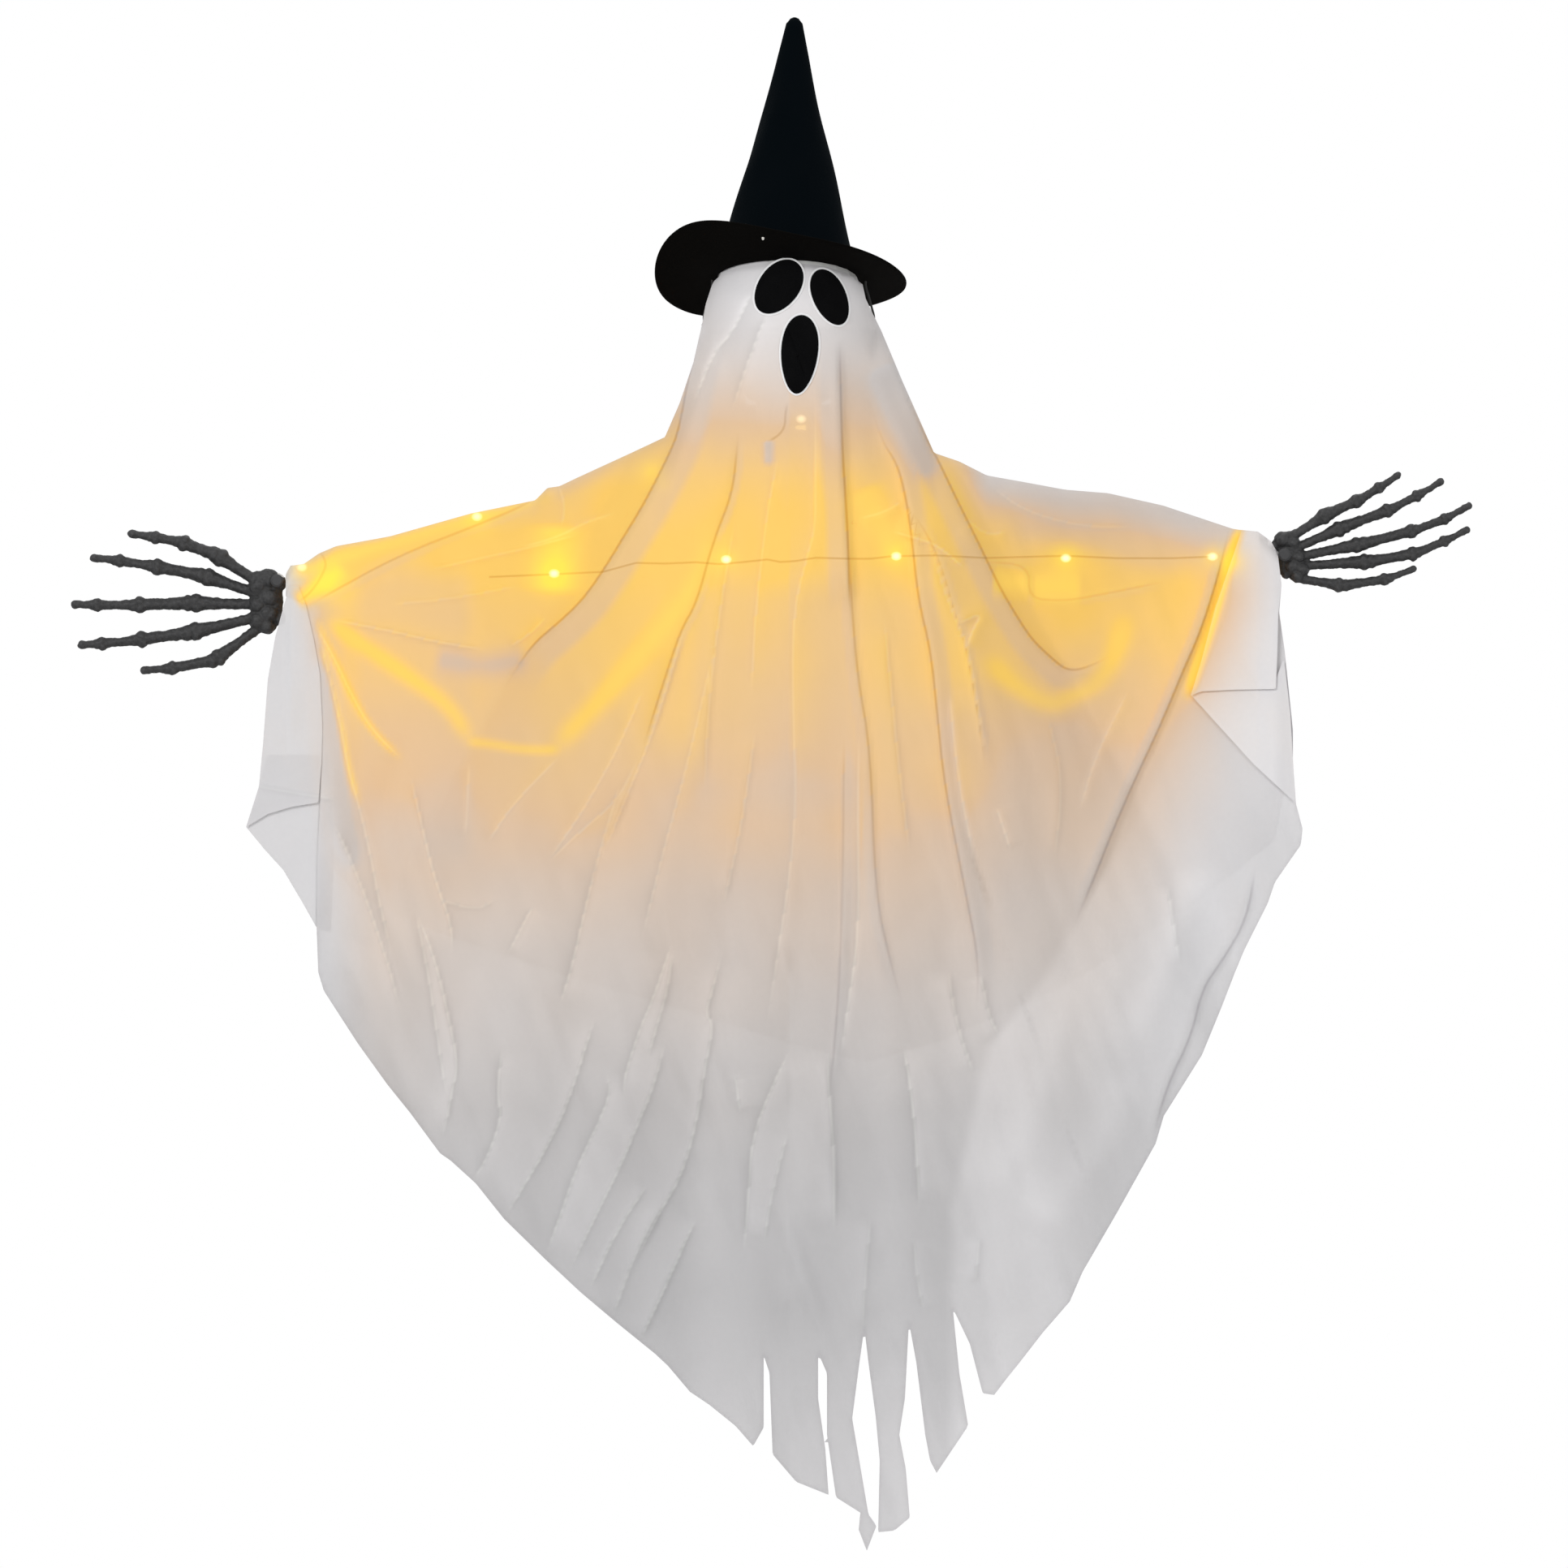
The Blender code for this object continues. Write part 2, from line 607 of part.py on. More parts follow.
def make_battery_case():
    """An open tray with a clip on the backbone, two cells, a sliding cover and a switch."""
    low, high = case_box()
    case = box_object("battery_case", low, high, "white_plastic", bevel=CASE_WALL / 2)
    wall = Vector((CASE_WALL, CASE_WALL, CASE_WALL))
    hollow = box_object("case_hollow", low + wall, (high.x - CASE_WALL, high.y + OVERRUN, high.z - CASE_WALL),
                        "white_plastic")
    combine(case, hollow, "DIFFERENCE")
    slot_half = (SWITCH_WIDTH + SWITCH_TRAVEL) / 2 + FIT
    slot_y = switch_low().y
    slot = box_object("switch_slot", (-slot_half, slot_y - FIT, low.z - OVERRUN),
                      (slot_half, slot_y + SWITCH_SIDE + FIT, low.z + CASE_WALL + OVERRUN), "white_plastic")
    combine(case, slot, "DIFFERENCE")
    cover_high = Vector((high.x, high.y + FIT + COVER_THICK, high.z))
    box_object("battery_cover", (low.x, high.y + FIT, low.z), cover_high, "white_plastic",
               bevel=COVER_THICK / 4)
    make_batteries(low, high)
    make_switch()
    return case


def make_batteries(low, high):
    """Two cells side by side, their nubs turned opposite ways."""
    depth = low.y + CASE_WALL + FIT + BATTERY_RADIUS
    for index, way in ((0, 1), (1, -1)):
        height = -CASE_DROP + (0.5 - index) * (BATTERY_RADIUS * 2 + FIT)
        end = BATTERY_LENGTH / 2
        nub = rod_object(f"cell_nub_{index + 1}", (way * (end - OVERRUN), depth, height),
                         (way * (end + BATTERY_NUB), depth, height), BATTERY_RADIUS / 3, 10, "steel")
        cell = rod_object(f"battery_{index + 1}", (-end, depth, height), (end, depth, height),
                          BATTERY_RADIUS, 18, "battery_skin")
        combine(cell, nub, "UNION")
    for side, label in ((-1, "left"), (1, "right")):
        outer = side * (CASE_WIDTH / 2 - CASE_WALL - FIT)
        inner = side * (BATTERY_LENGTH / 2 + BATTERY_NUB + FIT)
        box_object(f"contact_plate_{label}",
                   (min(outer, inner), low.y + CASE_WALL + FIT, -CASE_DROP - BATTERY_RADIUS),
                   (max(outer, inner), high.y - CASE_WALL - FIT, -CASE_DROP + BATTERY_RADIUS), "steel")


def switch_low():
    """The switch slider's low corner, in the case's underside."""
    low, high = case_box()
    middle = (low.y + high.y - SWITCH_SIDE) / 2
    return Vector((-(SWITCH_WIDTH + SWITCH_TRAVEL) / 2, middle, low.z - SWITCH_STAND))


def make_switch():
    low = switch_low()
    high = low + Vector((SWITCH_WIDTH, SWITCH_SIDE, SWITCH_STAND + CASE_WALL))
    return box_object("switch_slider", low, high, "black_plastic")


# Light string


def bar_wire_points():
    """The string's straight run on the front of the cross bar, wrist to wrist."""
    front = BAR_RADIUS + WIRE_RADIUS + FIT
    reach = BAR_HALF - BAR_EYE_RADIUS * 2
    return [bar_point(mix(-reach, reach, step / 14), front) for step in range(15)]


def shoulder_anchors():
    """The string's own points from the sleeve at the neck, under the chin, to the left wrist."""
    return [
        (-0.0155, -0.0700, -0.0885), (-0.0140, -0.0720, -0.0845), (-0.0080, -0.0760, -0.0800),
        (0.0010, -0.0830, -0.0765), (0.0080, -0.0930, -0.0745), (0.0085, -0.1010, -0.0740),
        (0.0010, -0.1050, -0.0755), (-0.0200, -0.1030, -0.0810), (-0.0600, -0.0960, -0.0940),
        (-0.1095, -0.0860, -0.1090), (-0.1800, -0.0610, -0.1300), (-0.2487, -0.0260, -0.1525),
        (-0.3200, -0.0030, -0.1710), (-0.3830, -0.0020, -0.1915),
    ]


def sleeve_ends():
    """The sleeve's low and high end, just below the shoulder run's start."""
    high = Vector(shoulder_anchors()[0]) - Vector((0.0, 0.0, FIT))
    return high - Vector((0.0, 0.0, SLEEVE_LENGTH)), high


def lead_anchors():
    """The lead's own points from the battery case down to the sleeve."""
    low, high = case_box()
    start = Vector((-0.0155, (low.y + high.y) / 2, low.z - FIT))
    return [
        start, start + Vector((0.0, 0.0, -0.010)), (-0.0155, 0.0030, -0.0850), (-0.0155, -0.0150, -0.1020),
        (-0.0155, -0.0400, -0.1090), (-0.0155, -0.0600, -0.1065), (-0.0155, -0.0690, -0.1010),
        sleeve_ends()[0] - Vector((0.0, 0.0, FIT)),
    ]


def make_light_string():
    curve_tube("light_wire_bar", bar_wire_points(), WIRE_RADIUS, "copper_wire")
    shoulder = smooth_route(shoulder_anchors(), 3)
    curve_tube("light_wire_shoulder", shoulder, WIRE_RADIUS, "copper_wire")
    curve_tube("battery_lead", smooth_route(lead_anchors(), 4), WIRE_RADIUS, "elastic")
    bm = bmesh.new()
    add_rod(bm, *sleeve_ends(), SLEEVE_RADIUS, 12)
    rims = [edge for edge in bm.edges if any(len(face.verts) > 4 for face in edge.link_faces)]
    bmesh.ops.bevel(bm, geom=rims, offset=SLEEVE_RADIUS / 3, segments=1, affect="EDGES")
    add_object("wire_sleeve", bm, "black_plastic")
    for index, place in enumerate(led_places(shoulder)):
        make_led(f"led_{index + 1:02d}", place)
    for index, share in enumerate(CLIP_SHARES):
        make_clip(f"light_clip_{index + 1}", share * (BAR_HALF - BAR_EYE_RADIUS * 2))


# Clips and lamps along the bar, in shares of the wire's half run
CLIP_SHARES = (-0.880, -0.552, -0.193, 0.167, 0.526, 0.955)
BAR_LED_SHARES = (-0.925, -0.80, -0.463, -0.112, 0.236, 0.583, 0.878, 0.924)
SHOULDER_LED_POINTS = (14, 28, 36)


def led_places(shoulder):
    """Lamp places: some under the shoulder run, the rest in front of the bar run."""
    under = WIRE_RADIUS + FIT + LED_RADIUS
    places = [shoulder[index] - Vector((0.0, 0.0, under)) for index in SHOULDER_LED_POINTS]
    front = BAR_RADIUS + WIRE_RADIUS + FIT
    reach = BAR_HALF - BAR_EYE_RADIUS * 2
    places += [bar_point(share * reach, front + under) for share in BAR_LED_SHARES]
    return places


def make_led(name, place):
    """A small domed lamp on its stub, hanging from the wire."""
    bm = bmesh.new()
    r = LED_RADIUS
    profile = [(0.0, 0.0), (r, 0.0), (r, LED_LENGTH * 0.3), (r * 0.8, LED_LENGTH * 0.34),
               (r * 0.85, LED_LENGTH * 0.7), (r * 0.5, LED_LENGTH * 0.94), (0.0, LED_LENGTH)]
    lathe_mesh(bm, profile, LED_SIDES)
    end = Vector(place) + Vector((LED_LENGTH / 2, 0.0, 0.0))
    turn = Matrix.Translation(end) @ Matrix.Rotation(-math.pi / 2, 4, "Y")
    bmesh.ops.transform(bm, matrix=turn, verts=bm.verts[:])
    return add_object(name, bm, "warm_lamp")


def make_clip(name, along):
    """A wire ring that holds the light string on the bar."""
    bm = bmesh.new()
    inner = BAR_RADIUS + WIRE_RADIUS + FIT * 3
    centre = bar_point(along, WIRE_RADIUS + FIT / 2)
    ring_mesh(bm, centre, (0, 1, 0), (-BAR_AXIS.z, 0.0, BAR_AXIS.x), inner + CLIP_WIRE, CLIP_WIRE, 14, 6)
    return add_object(name, bm, "copper_wire")


# Robe


def top_fall(across):
    """How far forward of the backbone the robe's top edge lies: most at the head, nothing at the wrists."""
    reach = (BAR_HALF * 0.82 - abs(across)) / (BAR_HALF * 0.82 - HEAD_SIDE * 1.2)
    return -HEAD_FORWARD * ease(reach)


def head_depth(across, height, offset):
    """Half the depth of the cloth-covered head at a place, nothing outside it."""
    a = HEAD_SIDE + offset
    b = HEAD_FRONT + offset
    c = HEAD_HIGH + offset
    rise = (height - HEAD_RISE) / c
    flat = 1.0 - (across / a) ** 2 - rise ** 2
    return b * math.sqrt(max(0.0, flat))


def cone_half(height):
    """Half the width of the cloth cone that falls from the head."""
    fall = max(0.0, HEAD_RISE - height)
    return HEAD_SIDE * 1.10 + fall * 0.55


def fold_wave(share, down, count, phase):
    """Soft upright folds that deepen towards the hem."""
    turn = math.tau * count * share
    wave = math.sin(turn + phase) + 0.35 * math.sin(turn * 1.7 + phase * 2.3)
    return wave * ease(down * 1.25) * (0.55 + 0.45 * math.sin(math.tau * share * 1.5 + phase))


def sleeve_opening(across, below):
    """How fast the two layers part under the top fold, out along the arms."""
    return SLEEVE_BULGE * (1.0 - math.exp(-below / SLEEVE_ROLL)) * ease((abs(across) - HEAD_SIDE) / HEAD_SIDE)


def past_bar(across, height, below):
    """0 at the top fold and 1 where the cloth is down at the cross bar."""
    bar_height = -SPINE_DROP + (across - BAR_SHIFT) * math.tan(BAR_TILT)
    return ease(below / max(height + below - bar_height - HUB_HEIGHT / 2, FIT))


def front_face(across, height, share, down, below):
    """The front cloth's inner surface: how far along Y it lies."""
    side = mix(top_fall(across), -FRONT_HEM, ease(down * 1.4)) - sleeve_opening(across, below)
    wrapped = -HEAD_FORWARD - head_depth(across, max(height, HEAD_RISE), CLOTH_EASE)
    hanging = -HEAD_FORWARD - HEAD_FRONT - FRONT_CHIN + FRONT_FALL * ease(down)
    fall = ease((HEAD_RISE - height) / (HEAD_HIGH * 0.8))
    bump = math.sqrt(max(0.0, 1.0 - (across / cone_half(height)) ** 2)) ** mix(1.0, 2.4, fall)
    upper = wrapped if abs(across) < HEAD_SIDE + CLOTH_EASE else side
    face = mix(upper, mix(side, hanging, bump), ease((HEAD_RISE - height) / HEAD_HIGH * 2))
    folds = FOLD_DEPTH * fold_wave(share, down, 7.0, 0.6)
    swag = math.sin(math.tau * (below / ROBE_HALF + abs(share - 0.5) * 2.5)) * ease(down * 3) * (1 - bump)
    return face + folds + SWAG_DEPTH * swag


def back_face(across, height, share, down, below):
    """The back cloth's inner surface, carried out round the battery case."""
    side = mix(top_fall(across), 0.0, past_bar(across, height, below)) + sleeve_opening(across, below)
    side += (BACK_HEM - SLEEVE_BULGE) * ease(down * 1.8)
    wrapped = -HEAD_FORWARD + head_depth(across, max(height, HEAD_RISE), CLOTH_EASE)
    bump = ease(1.3 - abs(across) / cone_half(height))
    hanging = mix(BACK_CLEAR, BACK_HEM, ease(down))
    upper = wrapped if abs(across) < HEAD_SIDE + CLOTH_EASE else side
    face = mix(upper, mix(side, hanging, bump), ease((HEAD_RISE - height) / (HEAD_HIGH * 0.55)))
    return face + FOLD_DEPTH * fold_wave(share, down, 6.0, 2.1)


def column_shares():
    """Columns across the hem, with one on each slit; returns shares and the slits' column numbers."""
    stops = [HEM_SHARES[0][0], *(slit[0] for slit in SLIT_SHARES), HEM_SHARES[-1][0]]
    shares = [stops[0]]
    slits = {}
    for number, (left, right) in enumerate(zip(stops, stops[1:])):
        count = COLUMNS_BETWEEN_SLITS[number]
        shares += [mix(left, right, step / count) for step in range(1, count + 1)]
        if number < len(SLIT_SHARES):
            slits[len(shares) - 1] = SLIT_SHARES[number][1] * ROBE_DROP
    return shares, slits


def robe_place(hem_share, down, raise_hem):
    """Across and height of a cloth point; each column runs from the top edge to the hem."""
    low_left, low_right = HEM_SHARES[0][0], HEM_SHARES[-1][0]
    share = (hem_share - low_left) / (low_right - low_left)
    start = top_column(share)
    top = top_edge(start)
    foot = along_table(HEM_SHARES, hem_share) * ROBE_DROP
    foot = mix(foot, BACK_HEM_SHARE * ROBE_DROP, raise_hem)
    across = mix(start, hem_share * ROBE_HALF, down)
    height = mix(top, foot, down)
    return across, height, share, top


def top_column(share):
    """Where a column starts on the top edge: closer together over the head than along the arms."""
    arms = [(place, across * ROBE_HALF) for place, across in ARM_COLUMN_SHARES]
    head = [(place, across * HEAD_SIDE) for place, across in HEAD_COLUMN_SHARES]
    return along_table(sorted(arms + head), share)


def top_edge(across):
    """The height of the robe's top edge: along the arms, and up over the head."""
    arms = [(out * ROBE_HALF, up * ROBE_DROP) for out, up in ARM_EDGE_SHARES]
    head = [(out * HEAD_SIDE, HEAD_RISE + up * HEAD_HIGH) for out, up in HEAD_EDGE_SHARES]
    return along_table(sorted(arms + head), across)


def robe_panel(name, face, outward, raise_hem, slit_depth, window):
    """A closed sheet of cloth with slits in its hem and, where given, a window cut out."""
    shares, slits = column_shares()
    bm = bmesh.new()
    rows = [(row / ROBE_ROWS) ** ROW_POWER for row in range(ROBE_ROWS + 1)]

    def corner(column, row, strip_side):
        down = rows[row]
        across, height, share, top = robe_place(shares[column], down, raise_hem)
        if column in slits:
            cut = mix(slits[column], BACK_HEM_SHARE * ROBE_DROP, raise_hem)
            if height < cut:
                span = (cut - height) / (ROBE_DROP * slit_depth)
                across += strip_side * SLIT_HALF * (0.4 + min(span, 1.0) * 0.6)
        depth = face(across, height, share, down, top - height)
        return Vector((across, depth, height))

    def is_open(column, row):
        middle = (robe_place(shares[column], rows[row], raise_hem)[0]
                  + robe_place(shares[column + 1], rows[row + 1], raise_hem)[0]) / 2
        height = (robe_place(shares[column], rows[row], raise_hem)[1]
                  + robe_place(shares[column + 1], rows[row + 1], raise_hem)[1]) / 2
        return bool(window) and abs(middle) < window[0] and window[1] < height < window[2]

    for column in range(len(shares) - 1):
        for row in range(ROBE_ROWS):
            if is_open(column, row):
                continue
            points = [corner(column, row, 1), corner(column, row + 1, 1),
                      corner(column + 1, row + 1, -1), corner(column + 1, row, -1)]
            bm.faces.new([bm.verts.new(point) for point in points])
    bmesh.ops.remove_doubles(bm, verts=bm.verts[:], dist=FIT / 10)
    bmesh.ops.triangulate(bm, faces=bm.faces[:])
    thicken(bm, Vector((0.0, outward * CLOTH, 0.0)))
    return add_object(name, bm, "sheer_cloth")


def thicken(bm, step):
    """Give a sheet its thickness by a copy moved along one step, joined round every open edge."""
    faces = bm.faces[:]
    rim = [edge for edge in bm.edges if edge.is_boundary]
    copies = {vert: bm.verts.new(vert.co + step) for vert in bm.verts[:]}
    for face in faces:
        bm.faces.new([copies[vert] for vert in reversed(face.verts)])
    for edge in rim:
        first, second = edge.verts
        bm.faces.new((first, second, copies[second], copies[first]))


def make_robe():
    front = robe_panel("robe_front", front_face, -1.0, 0.0, 0.08, None)
    robe_panel("robe_back", back_face, 1.0, BACK_RAISE_SHARE, 0.08,
               (BACK_SLIT_HALF, BACK_SLIT_BOTTOM, BACK_SLIT_TOP))
    return front


def make_face_patch(name, front, values):
    """A thin felt patch that lies on the front cloth."""
    centre_x, centre_z, half_width, half_height, lean, taper = values
    mesh = front.data
    tree = BVHTree.FromPolygons([vert.co for vert in mesh.vertices],
                                [tuple(face.vertices) for face in mesh.polygons])
    bm = bmesh.new()
    rings = []
    for share in (0.4, 0.75, 1.0):
        ring = []
        for step in range(20):
            turn = math.tau * step / 20
            wide = half_width * (1.0 + taper * math.sin(turn)) * math.cos(turn) * share
            high = half_height * math.sin(turn) * share
            x = centre_x + wide * math.cos(lean) - high * math.sin(lean)
            z = centre_z + wide * math.sin(lean) + high * math.cos(lean)
            ring.append(bm.verts.new(on_cloth(tree, x, z)))
        rings.append(ring)
    middle = bm.verts.new(on_cloth(tree, centre_x, centre_z))
    for step in range(20):
        after = (step + 1) % 20
        bm.faces.new((middle, rings[0][step], rings[0][after]))
        for inner, outer in zip(rings, rings[1:]):
            bm.faces.new((inner[step], outer[step], outer[after], inner[after]))
    thicken(bm, Vector((0.0, -PATCH_THICK, 0.0)))
    return add_object(name, bm, "black_felt")


def on_cloth(tree, x, z):
    start = Vector((x, -ROBE_HALF, z))
    hit = tree.ray_cast(start, Vector((0.0, 1.0, 0.0)))[0]
    return Vector((x, hit.y - PATCH_GAP, z))


# Skeleton hands


def bone_points(joints):
    """Path and radii of a finger: each bone is thin in the shaft and knobbed at both ends."""
    points = []
    radii = []
    for index, (start, end) in enumerate(zip(joints, joints[1:])):
        slim = 1.0 - 0.10 * index
        for share, knob in ((0.0 if index == 0 else 0.05, 0.85), (0.24, 0.0), (0.70, 0.0), (0.93, 1.0)):
            points.append(start.lerp(end, share))
            radii.append(mix(BONE_SHAFT, BONE_KNOB, knob) * slim)
    points.append(joints[-1])
    radii.append(BONE_SHAFT * 0.45)
    return points, radii


def hand_place(share_x, share_z, spread):
    """A place on the hand, the fingers bent gently forward towards their tips."""
    curl = FINGER_CURL * max(0.0, share_x - 0.3) ** 2
    return Vector((share_x * HAND_LENGTH, -curl, share_z * HAND_LENGTH * spread))


def make_hand(side, label, pose):
    """One moulding: five jointed fingers and the wrist bones, with a fork for the bar's eye."""
    spread, reach, rise = pose
    centre = bar_point(side * BAR_HALF)
    turn = (Matrix.Translation(centre) @ Matrix.Rotation(-side * rise, 4, "Y")
            @ Matrix.Diagonal((side * reach, 1.0, 1.0, 1.0)))
    bm = bmesh.new()
    low_z = -0.262 * HAND_LENGTH * spread
    for y in (-PALM_THICK / 2, PALM_THICK / 2):
        for x_share, z_share in PALM_SHARES:
            bm.verts.new((x_share * HAND_LENGTH, y, max(z_share * HAND_LENGTH * spread, low_z)))
    bmesh.ops.convex_hull(bm, input=bm.verts[:])
    bmesh.ops.transform(bm, matrix=turn, verts=bm.verts[:])
    hand = add_object(f"{label}_hand", bm, "black_plastic")
    for number, (x_share, z_share, wide, high) in enumerate(CARPAL_SHARES):
        bm = bmesh.new()
        place = turn @ Matrix.Translation(hand_place(x_share, z_share, spread)) @ Matrix.Diagonal(
            (wide * HAND_LENGTH, WRIST_THICK / 2, high * HAND_LENGTH, 1.0))
        bmesh.ops.create_uvsphere(bm, u_segments=8, v_segments=6, radius=1.0, matrix=place)
        combine(hand, add_object(f"{label}_carpal_{number + 1}", bm, "black_plastic"), "UNION")
    for number, shares in enumerate(FINGER_SHARES):
        joints = [hand_place(x_share, z_share, spread) for x_share, z_share in shares]
        points, radii = bone_points(joints)
        bm = bmesh.new()
        tube_mesh(bm, points, radii, 6)
        bmesh.ops.transform(bm, matrix=turn, verts=bm.verts[:])
        combine(hand, add_object(f"{label}_finger_{number + 1}", bm, "black_plastic"), "UNION")
    cut_wrist_fork(hand, centre, side, label)
    make_wrist_pin(centre, label)
    return hand


def cut_wrist_fork(hand, centre, side, label):
    """The slot that takes the bar's eye, swept clear for the wrist's range, and the pin's hole."""
    run = WRIST_THICK / 2 + OVERRUN
    hole = rod_object(f"{label}_pin_hole", centre + Vector((0, -run, 0)), centre + Vector((0, run, 0)),
                      PIN_RADIUS + FIT, 14, "steel")
    combine(hand, hole, "DIFFERENCE")
    bm = bmesh.new()
    half = BAR_EYE_THICK / 2 + FIT
    cut_radius = BAR_EYE_RADIUS + FIT * 2
    add_rod(bm, centre + Vector((0, -half, 0)), centre + Vector((0, half, 0)), cut_radius, 20)
    combine(hand, add_object(f"{label}_eye_slot", bm, "steel"), "DIFFERENCE")
    wide = BAR_RADIUS + FIT * 2
    bm = bmesh.new()
    for share in (-1.0, -0.5, 0.0, 0.5, 1.0):
        along = Matrix.Rotation(share * WRIST_RANGE, 3, "Y") @ (BAR_AXIS * -side)
        across = along.cross(Vector((0.0, 1.0, 0.0)))
        for reach in (0.0, HAND_LENGTH * 0.30):
            for step in (-wide, wide):
                for depth in (-wide, wide):
                    bm.verts.new(centre + along * reach + across * step + Vector((0.0, depth, 0.0)))
    bmesh.ops.convex_hull(bm, input=bm.verts[:])
    combine(hand, add_object(f"{label}_bar_slot", bm, "steel"), "DIFFERENCE")


def make_wrist_pin(centre, label):
    """A rivet through the fork, with a round head at the front and the back."""
    bm = bmesh.new()
    seat = WRIST_THICK / 2 + FIT
    end = seat + PIN_HEAD_HEIGHT
    crown = PIN_HEAD_RADIUS * 0.7
    profile = [(0.0, -end), (crown, -end), (PIN_HEAD_RADIUS, -seat), (PIN_RADIUS, -seat), (PIN_RADIUS, seat),
               (PIN_HEAD_RADIUS, seat), (crown, end), (0.0, end)]
    lathe_mesh(bm, profile, 14)
    turn = Matrix.Translation(centre) @ Matrix.Rotation(math.pi / 2, 4, "X")
    bmesh.ops.transform(bm, matrix=turn, verts=bm.verts[:])
    return add_object(f"wrist_pin_{label}", bm, "steel")


def main():
    clear_scene()
    make_hanging_ring()
    make_backbone()
    make_cross_bar()
    make_hub()
    make_head()
    make_head_bracket()
    make_hat_cone()
    make_hat_brim()
    make_elastic()
    make_battery_case()
    make_light_string()
    front = make_robe()
    make_face_patch("eye_left", front, EYE_LEFT)
    make_face_patch("eye_right", front, EYE_RIGHT)
    make_face_patch("mouth", front, MOUTH)
    make_hand(-1, "left", LEFT_POSE)
    make_hand(1, "right", RIGHT_POSE)


main()
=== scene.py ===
"""Looks of a hanging ghost: a sheer folded robe, a felt witch hat, skeleton hands and a warm light string."""

import math
from contextlib import contextmanager

import bpy
import numpy as np
from mathutils import Matrix, Vector


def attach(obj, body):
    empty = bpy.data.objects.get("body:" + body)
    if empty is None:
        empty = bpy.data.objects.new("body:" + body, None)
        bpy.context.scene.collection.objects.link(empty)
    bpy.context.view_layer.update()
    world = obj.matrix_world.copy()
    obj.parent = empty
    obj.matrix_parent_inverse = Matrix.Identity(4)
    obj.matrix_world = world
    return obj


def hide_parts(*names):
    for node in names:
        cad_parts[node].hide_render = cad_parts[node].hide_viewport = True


bl_info = {
    "name": "Hanging Ghost",
    "version": (1, 0, 0),
    "blender": (4, 5, 0),
    "location": "3D View > Sidebar > Ghost",
    "description": "Robe, hat, hands and lights of a hanging ghost, built round its packed frame",
    "category": "Object",
}

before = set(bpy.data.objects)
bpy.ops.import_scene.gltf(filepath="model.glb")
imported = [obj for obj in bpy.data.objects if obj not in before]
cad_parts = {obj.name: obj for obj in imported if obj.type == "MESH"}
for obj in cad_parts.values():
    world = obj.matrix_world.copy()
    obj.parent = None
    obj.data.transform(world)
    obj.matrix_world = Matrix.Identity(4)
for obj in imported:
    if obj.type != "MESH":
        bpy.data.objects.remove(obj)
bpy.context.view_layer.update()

MM = 0.001

# Frame sizes that the looks lean on, in metres
HEAD_CENTRE = Vector((0.0, -0.106, 0.0065))
HEAD_SIDE = 0.063
HEAD_FRONT = 0.063
HEAD_HIGH = 0.071
BAR_DROP = 0.1875
BAR_SHIFT = -0.0065
BAR_TILT = math.radians(1.48)
BAR_HALF = 0.402
FRONT_HEM = 0.060
BACK_HEM = 0.052
FRONT_CHIN = 0.005
FRONT_FALL = 0.050
CLOTH_EASE = 0.0034
SLEEVE_BULGE = 0.0140
SLEEVE_ROLL = 0.0040
WIRE_RADIUS = 0.0006
ELASTIC_RADIUS = 0.0009

# Camera: far back with a long lens, level with the middle of the ghost
CAMERA_PLACE = (-0.0039, -20.0, -0.3601)
CAMERA_LENS = 575.4
FLOOR_HEIGHT = -1.30

